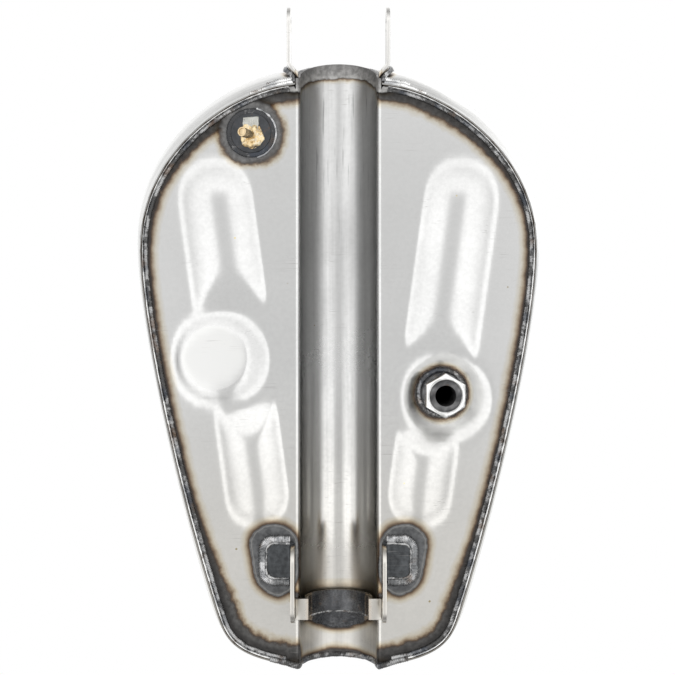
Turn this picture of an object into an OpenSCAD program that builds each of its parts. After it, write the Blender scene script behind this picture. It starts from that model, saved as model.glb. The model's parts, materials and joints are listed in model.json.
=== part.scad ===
// Small teardrop fuel tank for a cruiser motorcycle, in bare welded steel.
//
// The tank hangs from the frame by two ears in front and two behind, and a
// half-round tunnel along its underside clears the frame's backbone tube.
// Millimetres, +Z up, the nose of the tank points along -Y. The origin is the
// middle of the front mounting bolt. Inside the modules a piece is drawn in the
// tank's own measure, with the floor's underside at z = 0 and the mouth of the
// tunnel at y = 0, and in_frame() moves it to the bolt.

/* [Body] */
// Half of the width at the seam, at the widest point
seam_half_width = 140; // [120:1:168]
// Length of the seam from front to rear
seam_length = 410; // [340:1:500]
// How far the seam lies behind the tunnel's mouth
seam_setback = 12; // [8:1:16]
// Distance from the front of the seam to the widest point
widest_at = 118; // [90:1:140]
// Half of the width at the tail, just before its corners
tail_half_width = 84; // [70:1:100]
// Length of the rounded tail corner
tail_corner = 32; // [24:1:40]
// Height from the floor to the top of the shell
body_height = 150; // [120:1:180]
// Height that the top line falls to at the tail
tail_height = 74; // [60:1:96]
// Distance from the front of the seam to the highest point
summit_at = 138; // [110:1:160]
// Squareness of the dome, 2 is an ellipse
dome_power = 2.3; // [2:0.1:3]
// Height of the widest line above the floor
widest_height = 50; // [36:1:60]
// How far the nose swells out over the seam
nose_bulge = 20; // [12:1:26]
// How far the sides swell out over the seam
side_bulge = 8; // [4:1:12]
// How far the tail swells out over the seam
tail_bulge = 1; // [0:1:5]
// Thickness of the sheet steel
sheet = 1.5; // [1:0.1:2.4]
// How far the shell's lower edge stands below the floor
seam_lip = 2; // [1:0.5:4]

/* [Tunnel] */
// Radius of the half-round tunnel, underneath
tunnel_radius = 27; // [22:0.5:34]
// Height of the straight wall between the bend and the round crown
tunnel_wall = 2; // [0.5:0.5:12]
// Bend radius between the floor and the tunnel
tunnel_bend = 3; // [2:0.5:5]

/* [Pressed floor] */
// Half of the width of the two front ribs
front_rib_half_width = 25; // [18:0.5:28]
// Half of the width of the two rear ribs
rear_rib_half_width = 21; // [14:0.5:24]
// Depth that the ribs are pressed to
rib_depth = 6.5; // [3:0.5:9]
// Radius of the flat face of the blank boss
boss_face_radius = 24; // [18:0.5:28]
// Height of the blank boss at its middle
boss_height = 5.5; // [3:0.5:8]
// Width of the dish's flat floor outside the collar's weld
dish_margin = 1.9; // [1:0.1:5]
// Depth of the outlet dish at its middle
dish_depth = 5.5; // [3:0.5:8]
// Lean of the boss and the dish away from the tunnel, in degrees
pad_lean = 4.5; // [2:0.5:6]

/* [Front ears] */
// Distance from the tunnel's side out to a front ear
front_ear_offset = 7; // [5:0.5:14]
// Height of a front ear
front_ear_height = 25; // [20:1:32]
// Distance from the bolt forward to the tip of the ear
front_ear_tip = 12.5; // [10:0.5:16]
// Distance from the bolt back to the tunnel's mouth
front_ear_reach = 32.5; // [24:0.5:40]
// Thickness of all four ears
ear_sheet = 2.6; // [2:0.1:4]
// Diameter of the front bolt hole
front_hole = 10.2; // [8:0.1:14]

/* [Rear brackets] */
// Distance from the rear end of the seam forward to the rear bolt
rear_hole_at = 46; // [30:1:70]
// Depth of the rear bolt below the floor
rear_hole_drop = 13; // [10:0.5:20]
// Radius of the rounded end round the rear bolt
rear_ear_round = 12; // [9:0.5:15]
// Length of a rear ear along the tunnel
rear_ear_length = 53; // [44:1:70]
// Diameter of the rear bolt hole
rear_hole = 8.4; // [6:0.1:12]
// Width of the flange that is welded to the floor
flange_width = 15.5; // [12:0.5:26]
// Length of the flange along the tunnel
flange_length = 26; // [20:1:36]
// Length of the saddle strap along the tunnel
strap_length = 15; // [10:1:24]
// Thickness of the saddle strap
strap_sheet = 3; // [2:0.5:4]
// Gap between the saddle strap and the tunnel's crown
strap_gap = 3; // [1.5:0.5:6]

/* [Fuel outlet] */
// Diameter of the threaded outlet nipple
nipple_d = 21.6; // [18:0.2:24]
// Diameter of the fuel passage
outlet_bore = 14.6; // [10:0.2:16]
// How far the welded collar stands out beyond the nut's flats
collar_step = 1; // [0.5:0.25:2.5]
// Height of the collar
collar_height = 8; // [5:0.5:12]
// Wall of the union nut, between the nipple and its flats
nut_wall = 2.7; // [2.2:0.1:5]
// Height of the union nut
nut_height = 14; // [10:0.5:18]

/* [Vent] */
// Diameter of the vent tube
vent_d = 6.4; // [5:0.1:8]
// Wall of the vent tube
vent_wall = 0.9; // [0.6:0.1:1.2]
// Length of the vent stub below its bend
vent_stub = 13; // [10:0.5:20]
// Lean of the vent stub away from the tunnel, in degrees
vent_lean = 21; // [10:1:30]
// Diameter of the round plate that carries the vent tube
vent_plate_d = 28; // [24:0.5:32]

/* [Filler] */
// Diameter of the filler opening
filler_bore = 41; // [34:0.5:46]
// Wall of the filler neck
neck_wall = 4.5; // [3:0.5:6]
// How far the neck stands above its flat seat
neck_rise = 6; // [4:0.5:10]
// Depth of the neck below its seat
neck_depth = 14; // [10:0.5:20]
// How far the cap's rim stands outside the neck
cap_overhang = 7; // [5:0.5:12]
// Height of the cap above its gasket
cap_height = 17; // [13:0.5:22]
// Number of finger flutes round the cap
cap_flutes = 12; // [8:1:16]
// Thickness of the gasket
gasket_height = 2.4; // [1.5:0.1:4]

/* [Hidden] */
$fn = 48;

steel = "#c3c4c2";
weld = "#55585a";
mill_scale = "#43474b";
bright_steel = "#d8dadb";
brass = "#d9bd7c";
braze_gold = "#e2c48a";
chrome = "#e6e8ea";
rubber = "#26272a";
dark_plastic = "#34363a";

fit = 0.1;             // gap between pieces that are welded or pushed together
run_gap = 0.3;         // gap between pieces that move against each other
thread_gap = 0.1;      // gap round a thread
weld_gap = 0.25;       // gap between a weld and a bend that it follows
far = 400;             // longer than anything that a cut has to clear

front_ear_gap = 2 * (tunnel_radius + front_ear_offset);
saddle_radius = tunnel_radius - strap_gap - strap_sheet;
nut_flats = nipple_d + 2 * nut_wall;
collar_d = nut_flats + 2 * collar_step;
collar_weld_leg = 3.6;
dish_floor_radius = collar_d / 2 + collar_weld_leg + dish_margin;
neck_radius = filler_bore / 2 + neck_wall;
cap_d = 2 * (neck_radius + cap_overhang);

front_y = seam_setback;
rear_y = front_y + seam_length;
widest_y = front_y + widest_at;
summit_y = front_y + summit_at;
arch_z = tunnel_bend + tunnel_wall;        // where the tunnel's round crown begins
corner_x = tunnel_radius + tunnel_bend;    // where the floor begins to bend
join_x = corner_x + 0.5;                   // where the flat floor takes over from the bend
tunnel_end = rear_y + tail_bulge + 1;

// Tank measure to the frame whose origin is the middle of the front bolt
ear_base = 2;
bolt_z = ear_base + front_ear_height / 2;

module in_frame() {
    translate([0, front_ear_reach, -bolt_z]) children();
}

// side is 1 for the piece on the rider's left, +X, and -1 for its mirror image
module on_side(side) {
    if (side < 0) mirror([1, 0, 0]) children();
    else children();
}

// ---------------------------------------------------------------- outline

function bezier(p, t) =
    pow(1 - t, 3) * p[0] + 3 * t * pow(1 - t, 2) * p[1]
    + 3 * t * t * (1 - t) * p[2] + pow(t, 3) * p[3];
function curve(p, steps) = [for (i = [0:steps - 1]) bezier(p, i / steps)];

tail_y = rear_y - tail_corner;
shoulder = [
    [corner_x, front_y],
    [corner_x + 0.40 * (seam_half_width - corner_x), front_y + 2],
    [1.014 * seam_half_width, front_y + 0.41 * widest_at],
    [seam_half_width, widest_y]
];
flank = [
    [seam_half_width, widest_y],
    [0.986 * seam_half_width, widest_y + 0.59 * widest_at],
    [tail_half_width + 20, tail_y - 60],
    [tail_half_width, tail_y]
];
tail = [
    [tail_half_width, tail_y],
    [tail_half_width - 7, tail_y + 0.66 * tail_corner],
    [tail_half_width - 22, rear_y - 6],
    [corner_x, rear_y]
];
wing_edge = concat(curve(shoulder, 9), curve(flank, 10), curve(tail, 6), [[corner_x, rear_y]]);

// The whole seam, counter-clockwise from the middle of the nose
half_seam = concat([[0, front_y], [corner_x / 2, front_y]], wing_edge, [[corner_x / 2, rear_y]]);
seam = concat(
    half_seam, [[0, rear_y]],
    [for (i = [len(half_seam) - 1:-1:1]) [-half_seam[i].x, half_seam[i].y]]
);

function unit(v) = v / norm(v);
function outward(path, i) =
    let (
        n = len(path),
        along = path[(i + 1) % n] - path[(i + n - 1) % n]
    ) unit([along.y, -along.x]);
seam_normals = [for (i = [0:len(seam) - 1]) outward(seam, i)];
function inset_seam(by) = [for (i = [0:len(seam) - 1]) seam[i] - by * seam_normals[i]];

// ---------------------------------------------------------------- shell

flare_steps = 5;       // rings from the seam to the widest line
dome_steps = 13;       // rings from the widest line to the summit
levels = concat(
    [for (k = [0:flare_steps - 1]) k / flare_steps - 1],
    [for (k = [0:dome_steps - 1]) k / dome_steps]
);

// Height of the surface over the length of the tank, above the widest line
function top_line(y) =
    y <= summit_y ? body_height
    : body_height - (body_height - tail_height)
        * pow((min(y, rear_y) - summit_y) / (rear_y - summit_y), 1.6);

// How far the widest line stands outside the seam
function swell(n) =
    side_bulge + (nose_bulge - side_bulge) * max(0, -n.y) - (side_bulge - tail_bulge) * max(0, n.y);

// The egg that the rings turn into as they near the summit
function egg(p) =
    let (
        reach = p.y < summit_y ? summit_y - front_y : rear_y - summit_y,
        d = unit([p.x / seam_half_width, (p.y - summit_y) / reach])
    ) [seam_half_width * d.x, summit_y + reach * d.y];

function widest_line(y) = widest_height * top_line(y) / body_height;

// Point i of the ring at a level, on a surface that lies inset within the shell.
// Levels run from -1 at the seam over 0 at the widest line to 1 at the summit.
function shell_point(i, level, inset) =
    let (
        out = level < 0 ? 1 - level * level : 1,
        p = seam[i] + (out * swell(seam_normals[i]) - inset) * seam_normals[i]
    )
    level < 0 ? [p.x, p.y, widest_line(p.y) * (1 + level)]
    : let (
        rise = pow(sin(90 * level), 2 / dome_power),
        reach = pow(cos(90 * level), 2 / dome_power),
        blend = pow(sin(90 * level), 2),
        q = (1 - blend) * p + blend * egg(p),
        y = summit_y + reach * (q.y - summit_y),
        foot = widest_line(y)
    ) [reach * q.x, y, foot + rise * (top_line(y) - inset - foot)];

// Where the nose lies at height z, in the middle of the tank
function nose_y(z) = front_y - nose_bulge * (1 - pow(1 - z / widest_height, 2));

// Walls between m rings of n points each, ring upon ring
function loft_walls(m, n) = [
    for (k = [0:m - 2], i = [0:n - 1])
        let (a = k * n + i, b = k * n + (i + 1) % n)
        each [[a, a + n, b + n], [a, b + n, b]]
];

// The closed body under the shell's surface, from below the seam to the summit
module shell_body(inset, foot) {
    n = len(seam);
    rings = concat(
        [[for (p = inset_seam(inset)) [p.x, p.y, -foot]]],
        [for (level = levels) [for (i = [0:n - 1]) shell_point(i, level, inset)]]
    );
    m = len(rings);
    points = concat(
        [for (r = rings) each r],
        [[0, summit_y, -foot], [0, summit_y, body_height - inset]]
    );
    base = [for (i = [0:n - 1]) [i, (i + 1) % n, m * n]];
    crown = [for (i = [0:n - 1]) [(m - 1) * n + i, m * n + 1, (m - 1) * n + (i + 1) % n]];
    polyhedron(points = points, faces = concat(base, loft_walls(m, n), crown), convexity = 4);
}

// Section across the tunnel, seen along the tank: the void that lies within it by gap
module arch_2d(gap) {
    translate([0, arch_z]) circle(r = tunnel_radius + gap);
    translate([-tunnel_radius - gap, -far / 8]) square([2 * (tunnel_radius + gap), arch_z + far / 8]);
}

// Sweeps a section across the tank, drawn as [x, z], from y0 to y1
module along_tank(y0, y1) {
    translate([0, y1, 0]) rotate([90, 0, 0]) linear_extrude(y1 - y0) children();
}

// What has to stay clear of the tunnel's sheet and the bends beside it
module tunnel_clearance() {
    along_tank(-far / 4, rear_y + far / 4) {
        arch_2d(sheet + fit);
        translate([-join_x - fit, -far / 8]) square([2 * (join_x + fit), tunnel_bend + far / 8]);
    }
}

filler_seat_z = body_height - 1.2;
filler_seat_radius = neck_radius + 9;

module top_shell() {
    color(steel) in_frame() difference() {
        shell_body(0, seam_lip);
        difference() {
            shell_body(sheet, seam_lip + 1);
            translate([0, summit_y, filler_seat_z - sheet]) cylinder(r = filler_seat_radius, h = far);
        }
        translate([0, summit_y, filler_seat_z]) cylinder(r = filler_seat_radius, h = far);
        translate([0, summit_y, filler_seat_z - neck_depth]) cylinder(r = neck_radius + fit, h = far);
        tunnel_clearance();
    }
}

// ---------------------------------------------------------------- floor

mouth_rise = 30;       // height over which the mouth's lean is measured
mouth_foot_y = front_y - 3.5;
mouth_reach = 3.7;     // how far the mouth stands out of the nose at that height
mouth_slope = mouth_foot_y - nose_y(mouth_rise) + mouth_reach;

// Keeps what lies behind the leaning mouth of the tunnel, gap further back
module behind_mouth(gap) {
    intersection() {
        children();
        translate([0, mouth_foot_y + gap, 0])
            rotate([atan(mouth_slope / mouth_rise), 0, 0])
            translate([-far, 0, -far]) cube(2 * far);
    }
}

// Section of the sheet that forms the tunnel and the two bends beside it
module channel_2d() {
    difference() {
        arch_2d(sheet);
        arch_2d(0);
        translate([-far / 2, -far]) square([far, far + tunnel_bend]);
    }
    for (s = [-1, 1]) {
        intersection() {
            translate([s * corner_x, tunnel_bend]) difference() {
                circle(r = tunnel_bend);
                circle(r = max(0.1, tunnel_bend - sheet));
            }
            translate([s * (corner_x - tunnel_bend / 2), tunnel_bend / 2]) square(tunnel_bend, center = true);
        }
        translate([s * (corner_x + join_x) / 2, sheet / 2])
            square([join_x - corner_x + 0.02, sheet], center = true);
    }
}

// A pressed rib: a shallow round-backed channel with one round end at the origin.
// It runs along +Y, stands down from the floor and fades into it over the ramp.
// inset draws the fuel side of the same sheet.
module rib_form(half_width, length, ramp, inset) {
    round_r = (half_width * half_width + rib_depth * rib_depth) / (2 * rib_depth);
    slope = atan(rib_depth / ramp);
    difference() {
        translate([0, 0, round_r - rib_depth]) {
            sphere(r = round_r - inset);
            rotate([-90, 0, 0]) cylinder(r = round_r - inset, h = length);
        }
        translate([0, length - inset / sin(slope), 0]) rotate([slope, 0, 0])
            translate([-far / 2, -far / 2, -far]) cube(far);
    }
}

// Each rib: x and y of its round end, turn of its axis, half width, length, ramp
rib_turn = 7.8;
wing_middle = (corner_x + seam_half_width) / 2;
front_rib_x = wing_middle + 1;
front_rib_y = front_y + 81;
rear_rib_x = (corner_x + tail_half_width) / 2;
rear_rib_y = rear_y - 120;
boss_x = wing_middle + 2;
boss_y = front_y + 0.471 * seam_length - 0.11;
dish_x = wing_middle - 12;
dish_y = front_y + 0.532 * seam_length - 0.12;
boss_reach = boss_face_radius + 9;     // where the ribs beside the boss end
dish_reach = dish_floor_radius + 8;    // and those beside the dish
ribs = [
    [-front_rib_x, front_rib_y, -rib_turn, front_rib_half_width, boss_y - front_rib_y - boss_reach, 25],
    [-rear_rib_x, rear_rib_y, 180 - rib_turn, rear_rib_half_width, rear_rib_y - boss_y - boss_reach + 1, 24],
    [front_rib_x, front_rib_y, rib_turn, front_rib_half_width, dish_y - front_rib_y - dish_reach, 18],
    [rear_rib_x, rear_rib_y, 180 + rib_turn, rear_rib_half_width, rear_rib_y - dish_y - dish_reach - 1, 13]
];

module floor_ribs(inset) {
    for (r = ribs)
        translate([r[0], r[1], 0]) rotate(r[2]) rib_form(r[3], r[4], r[5], inset);
}

// Moves a piece that hangs down from the floor on to a pad that leans away by angle
// in the direction that heading gives
module leaning(x, y, z, heading, angle) {
    translate([x, y, z]) rotate(heading) rotate([0, -angle, 0]) rotate(-heading) children();
}

boss_heading = 197;
boss_flank = 32;       // slope of the boss's side
dish_heading = 48;
dish_flank = 27;       // slope of the dish's side

// The raised blank boss, or with inset the fuel side of its sheet
module boss_form(inset) {
    leaning(-boss_x, boss_y, -boss_height, boss_heading, pad_lean)
        translate([0, 0, inset])
        cylinder(
            r1 = boss_face_radius - inset * (1 - cos(boss_flank)) / sin(boss_flank),
            r2 = boss_face_radius - inset * (1 - cos(boss_flank)) / sin(boss_flank)
                + 30 / tan(boss_flank),
            h = 30
        );
}

// The hollow of the outlet dish, or with outset the fuel side of its sheet
module dish_form(outset) {
    leaning(dish_x, dish_y, dish_depth, dish_heading, pad_lean)
        translate([0, 0, outset - 30])
        cylinder(
            r1 = dish_floor_radius + outset * (1 - cos(dish_flank)) / sin(dish_flank)
                + 30 / tan(dish_flank),
            r2 = dish_floor_radius + outset * (1 - cos(dish_flank)) / sin(dish_flank),
            h = 30
        );
}

module slab(z0, z1) {
    translate([-far, -far / 2, z0]) cube([2 * far, 3 * far, z1 - z0]);
}

module bottom_pan() {
    color(steel) in_frame() difference() {
        union() {
            linear_extrude(sheet) difference() {
                polygon(inset_seam(sheet + fit));
                translate([-join_x, -far / 2]) square([2 * join_x, 3 * far]);
            }
            behind_mouth(0) along_tank(-far / 4, tunnel_end) channel_2d();
            intersection() {
                union() {
                    floor_ribs(0);
                    boss_form(0);
                }
                slab(-far / 8, sheet / 2);
            }
            intersection() {
                dish_form(sheet);
                slab(sheet / 2, far / 8);
            }
        }
        intersection() {
            union() {
                floor_ribs(sheet);
                boss_form(sheet);
            }
            slab(-far / 8, sheet + 1);
        }
        intersection() {
            dish_form(0);
            slab(-0.01, far / 8);
        }
        at_outlet() cylinder(r = nipple_d / 2 + fit, h = 20, center = true);
        translate([-vent_tube_x, vent_tube_y, 0]) cylinder(r = vent_d / 2 + fit, h = 20, center = true);
    }
}

// ---------------------------------------------------------------- seam and tunnel welds

seam_leg = 3.5;        // width of the fillet weld on the floor

// Fillet weld between the floor and the shell's lower edge along one wing
module seam_weld(side) {
    n = len(wing_edge);
    path = [for (i = [0:n - 1]) [wing_edge[i], seam_normals[i + 2]]];
    section = [[sheet, 0], [sheet + seam_leg, 0], [sheet, -seam_lip]];
    points = [for (p = path) for (c = section) let (q = p[0] - c.x * p[1]) [q.x, q.y, c.y]];
    faces = concat([[0, 1, 2]], loft_walls(n, 3), [[3 * n - 1, 3 * n - 2, 3 * n - 3]]);
    color(weld) in_frame() on_side(side) difference() {
        polyhedron(points = points, faces = faces, convexity = 4);
        translate([-join_x - fit, -far / 2, -far / 2]) cube([2 * (join_x + fit), 3 * far, far]);
    }
}
module seam_weld_left() { seam_weld(1); }
module seam_weld_right() { seam_weld(-1); }

tunnel_weld_leg = 3;

// Ring of weld metal round the tunnel's outside, from y0 to y1
module tunnel_ring(y0, y1) {
    along_tank(y0, y1) difference() {
        arch_2d(sheet + tunnel_weld_leg);
        arch_2d(sheet + 0.02);
        translate([-far / 2, -far]) square([far, far + tunnel_bend]);
    }
}

// Weld round the tunnel where it comes out of the shell's nose, between the ears
module tunnel_weld_front() {
    color(weld) in_frame() difference() {
        behind_mouth(0.6) tunnel_ring(-far / 8, far / 8);
        shell_body(0, seam_lip);
        for (side = [-1, 1]) on_side(side)
            translate([front_ear_gap / 2 - ear_bend, foot_turn_y, -far / 2]) rotate(foot_angle)
            translate([ear_bend, -far / 2, 0]) cube([far, far, far / 2 + ear_base + front_ear_height + 1]);
    }
}

// Weld round the tunnel where it comes out of the shell's tail
module tunnel_weld_rear() {
    color(weld) in_frame() difference() {
        tunnel_ring(rear_y - 3, tunnel_end - 0.2);
        shell_body(0, seam_lip);
    }
}

// ---------------------------------------------------------------- front ears

foot_angle = 42;       // how sharply the foot of a front ear turns in to the tunnel
foot_length = 12;
foot_trim = 1.5;       // how far behind the mouth's plane the foot is trimmed to the nose
foot_turn_y = -4;      // where the foot begins to turn
ear_bend = 3;          // inner radius of the bends in all ears

// Plan of one front ear, a strip whose foot turns in towards the tunnel
module front_ear_plan() {
    tip_y = -front_ear_reach - front_ear_tip;
    translate([front_ear_gap / 2, tip_y]) square([ear_sheet, foot_turn_y - tip_y + 0.01]);
    translate([front_ear_gap / 2 - ear_bend, foot_turn_y]) {
        difference() {
            circle(r = ear_bend + ear_sheet);
            circle(r = ear_bend);
            translate([-10, -20]) square([20, 20]);
            rotate(foot_angle) translate([-20, 0]) square([40, 20]);
        }
        rotate(foot_angle) translate([ear_bend, -0.01]) square([ear_sheet, foot_length]);
    }
}

// Side view of a front ear as [y, z]: a tab with a round tip
module front_ear_side() {
    round_r = front_ear_height / 2;
    round_y = -front_ear_reach - front_ear_tip + round_r;
    translate([round_y, bolt_z]) circle(r = round_r);
    translate([round_y, ear_base]) square([far / 8, front_ear_height]);
}

module front_ear_solid() {
    difference() {
        intersection() {
            translate([0, 0, ear_base]) linear_extrude(front_ear_height) front_ear_plan();
            rotate([90, 0, 90]) linear_extrude(far / 4) front_ear_side();
        }
        behind_mouth(foot_trim) slab(-far / 2, far / 2);
        tunnel_clearance();
        translate([0, -front_ear_reach, bolt_z]) rotate([0, 90, 0]) cylinder(d = front_hole, h = far);
    }
}

module front_ear(side) {
    color(steel) in_frame() on_side(side) front_ear_solid();
}
module front_ear_left() { front_ear(1); }
module front_ear_right() { front_ear(-1); }

// Outer face of the ear in plan: x at a given y
foot_start = [
    front_ear_gap / 2 - ear_bend + (ear_bend + ear_sheet) * cos(foot_angle),
    foot_turn_y + (ear_bend + ear_sheet) * sin(foot_angle)
];
function ear_face_at(y) =
    y > foot_start.y ? foot_start.x - (y - foot_start.y) * tan(foot_angle)
    : front_ear_gap / 2 - ear_bend
        + sqrt(pow(ear_bend + ear_sheet, 2) - pow(max(0, y - foot_turn_y), 2));

function beside_foot(y) = max(ear_face_at(y) + weld_gap, join_x + 2 * fit);

// Fillet weld in the corner between the ear's foot and the nose
module front_ear_weld(side) {
    leg = 4;
    steps = 10;
    rings = [
        for (k = [0:steps])
            let (
                z = ear_base + 0.5 + k * (front_ear_height - 3) / steps,
                l = leg * (k == 0 || k == steps ? 0.55 : 1),
                y = nose_y(z) - fit,
                x = beside_foot(y)
            ) [
                [x, y, z],
                [beside_foot(y - l / 2), y - l / 2, z],
                [beside_foot(y - l), y - l, z],
                [x + 0.7 * l, y - 0.7 * l, z],
                [x + l, y, z]
            ]
    ];
    lid = [[3, 4, 0], [3, 0, 1], [3, 1, 2]];
    top = [for (f = lid) [for (j = [2:-1:0]) f[j] + 5 * steps]];
    color(weld) in_frame() on_side(side) polyhedron(
        points = [for (r = rings) each r],
        faces = concat(lid, loft_walls(steps + 1, 5), top),
        convexity = 4
    );
}
module front_ear_weld_left() { front_ear_weld(1); }
module front_ear_weld_right() { front_ear_weld(-1); }

// ---------------------------------------------------------------- rear brackets

rear_bolt_y = rear_y - rear_hole_at;
rear_ear_end = rear_bolt_y + rear_ear_round;
rear_ear_start = rear_ear_end - rear_ear_length;
ear_face_x = corner_x + 0.3;           // tunnel side of a rear ear
bend_x = ear_face_x + ear_sheet + ear_bend;
flange_y = rear_ear_start - 0.5;
flange_end_x = bend_x + flange_width;
flange_corner = 5;

// Side view of a rear ear as [y, z], with both lower corners round
module rear_ear_side() {
    front_round_y = rear_ear_start + rear_ear_round;
    for (y = [front_round_y, rear_bolt_y])
        translate([y, -rear_hole_drop]) circle(r = rear_ear_round);
    translate([front_round_y, -rear_hole_drop - rear_ear_round])
        square([rear_bolt_y - front_round_y, rear_ear_round]);
    translate([rear_ear_start, -rear_hole_drop]) square([rear_ear_length, rear_hole_drop + 1]);
}

// Plan of the flange, rounded at its two outer corners
module flange_plan() {
    square([flange_end_x - flange_corner, flange_length]);
    translate([flange_end_x - flange_corner, flange_corner]) circle(r = flange_corner);
    translate([flange_end_x - flange_corner, flange_length - flange_corner]) circle(r = flange_corner);
    translate([0, flange_corner]) square([flange_end_x, flange_length - 2 * flange_corner]);
}

// Upright ear and welded flange, bent from one strip
module rear_bracket(side) {
    bend_z = -ear_sheet - ear_bend;
    color(steel) in_frame() on_side(side) difference() {
        union() {
            // the upright, open to its lower edge
            intersection() {
                along_tank(rear_ear_start, rear_ear_end)
                    translate([ear_face_x, -far / 8]) square([ear_sheet, far / 8 + bend_z + 0.01]);
                rotate([90, 0, 90]) linear_extrude(far / 4) rear_ear_side();
            }
            // the stretch behind the flange reaches up nearly to the floor
            translate([ear_face_x, flange_y + flange_length, bend_z])
                cube([ear_sheet, rear_ear_end - flange_y - flange_length, -bend_z - 2 * fit]);
            // the bend
            along_tank(flange_y, flange_y + flange_length) intersection() {
                translate([bend_x, bend_z]) difference() {
                    circle(r = ear_bend + ear_sheet);
                    circle(r = ear_bend);
                }
                translate([ear_face_x, bend_z]) square([bend_x - ear_face_x, -bend_z]);
            }
            // the flange
            translate([0, flange_y, -ear_sheet]) linear_extrude(ear_sheet) difference() {
                flange_plan();
                translate([-1, -1]) square([bend_x + 1 - 0.01, flange_length + 2]);
            }
        }
        translate([0, rear_bolt_y, -rear_hole_drop]) rotate([0, 90, 0]) cylinder(d = rear_hole, h = far);
    }
}
module rear_bracket_left() { rear_bracket(1); }
module rear_bracket_right() { rear_bracket(-1); }

flange_weld_leg = 5;
module flange_weld_section() {
    polygon([[0, 0], [flange_weld_leg, 0], [0, -ear_sheet + 0.3]]);
}

// Fillet weld along +Y that fattens towards +X
module weld_run(length) {
    translate([0, length, 0]) rotate([90, 0, 0]) linear_extrude(length) flange_weld_section();
}

// Weld round the three free sides of a flange
module rear_bracket_weld(side) {
    across = flange_end_x - flange_corner - bend_x;
    color(weld) in_frame() on_side(side) translate([flange_end_x + 0.02, flange_y, 0]) {
        translate([0, flange_corner, 0]) weld_run(flange_length - 2 * flange_corner);
        for (end = [0, 1])
            translate([0, end * flange_length, 0]) mirror([0, end, 0]) {
                translate([-flange_corner, flange_corner, 0]) rotate(-90)
                    rotate_extrude(angle = 90) translate([flange_corner, 0]) flange_weld_section();
                translate([-flange_corner - across, 0, 0]) rotate(-90) weld_run(across);
            }
    }
}
module rear_bracket_weld_left() { rear_bracket_weld(1); }
module rear_bracket_weld_right() { rear_bracket_weld(-1); }

// ---------------------------------------------------------------- saddle strap

strap_end_y = rear_ear_end + 1;
strap_y = strap_end_y - strap_length;

// Bridges the tunnel between the rear ears and cradles the backbone tube
module rear_saddle_strap() {
    outer = saddle_radius + strap_sheet;
    color(mill_scale) in_frame() along_tank(strap_y, strap_end_y) difference() {
        union() {
            translate([0, arch_z]) circle(r = outer);
            translate([-outer, -strap_sheet]) square([2 * outer, arch_z + strap_sheet]);
            translate([-ear_face_x + fit, -strap_sheet]) square([2 * (ear_face_x - fit), strap_sheet - fit]);
        }
        translate([0, arch_z]) circle(r = saddle_radius);
        translate([-saddle_radius, -far / 8]) square([2 * saddle_radius, arch_z + far / 8]);
        translate([-far / 2, -far - strap_sheet]) square([far, far]);
    }
}

strap_weld_length = 17;
strap_weld_half_angle = 62;

// Tapered weld that closes the gap between the strap and the tunnel's crown
module saddle_strap_weld() {
    color(mill_scale) in_frame() translate([0, strap_end_y, arch_z]) rotate([-90, 0, 0])
        rotate(-90 - strap_weld_half_angle) rotate_extrude(angle = 2 * strap_weld_half_angle)
        polygon([
            [saddle_radius + 1, 0.02], [tunnel_radius - 0.05, 0.02],
            [tunnel_radius - 0.05, strap_weld_length], [tunnel_radius - 0.6, strap_weld_length]
        ]);
}

// ---------------------------------------------------------------- fuel outlet

module at_outlet() {
    leaning(dish_x, dish_y, dish_depth, dish_heading, pad_lean) children();
}

nut_top = -collar_height - run_gap;
nut_foot = nut_top - nut_height;
nipple_recess = 1.5;   // how far the nipple ends inside the nut
bung_inside = 4;       // how far the bung reaches into the tank

// Collar and male nipple, turned from one bar and bored through
module outlet_bung() {
    color(mill_scale) in_frame() at_outlet() difference() {
        union() {
            translate([0, 0, -collar_height]) cylinder(d = collar_d, h = collar_height);
            translate([0, 0, nut_foot + nipple_recess])
                cylinder(d = nipple_d, h = -nut_foot - nipple_recess + bung_inside);
        }
        translate([0, 0, nut_foot - 1]) cylinder(d = outlet_bore, h = 2 * nut_height + far / 8);
        for (z = [-collar_height * 0.35, -collar_height * 0.7])
            translate([0, 0, z]) rotate_extrude() translate([collar_d / 2, 0]) circle(r = 0.5, $fn = 16);
    }
}

module outlet_bung_weld() {
    leg = collar_weld_leg;
    color(weld) in_frame() at_outlet() rotate_extrude()
        polygon([[collar_d / 2, 0], [collar_d / 2 + leg, 0], [collar_d / 2, 1 - leg]]);
}

// Hexagon union nut with turned faces and a chamfered bore
module outlet_union_nut() {
    face_r = nut_flats / 2 * 0.94;
    bore_r = nipple_d / 2 + thread_gap;
    color(bright_steel) in_frame() at_outlet() translate([0, 0, nut_foot]) difference() {
        intersection() {
            rotate(30) cylinder(d = nut_flats / cos(30), h = nut_height, $fn = 6);
            union() {
                cylinder(r1 = face_r, r2 = face_r + nut_height, h = nut_height / 2);
                translate([0, 0, nut_height / 2])
                    cylinder(r1 = face_r + nut_height, r2 = face_r, h = nut_height / 2);
            }
        }
        translate([0, 0, -1]) cylinder(r = bore_r, h = nut_height + 2);
        translate([0, 0, -0.01]) cylinder(r1 = bore_r + 0.8, r2 = bore_r, h = 0.8);
    }
}

// ---------------------------------------------------------------- vent

vent_x = wing_middle - 23.5;
vent_y = front_y + 35;
vent_tube_x = vent_x + 0.5;
vent_tube_y = vent_y + 2;
vent_bore = vent_d - 2 * vent_wall;
braze_height = 2.2;
vent_bend_z = -sheet - braze_height - 1.3;   // the knee, clear of the braze
vent_stub_end = [
    -vent_tube_x - vent_stub * sin(vent_lean), vent_tube_y,
    vent_bend_z - vent_stub * cos(vent_lean)
];

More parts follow.
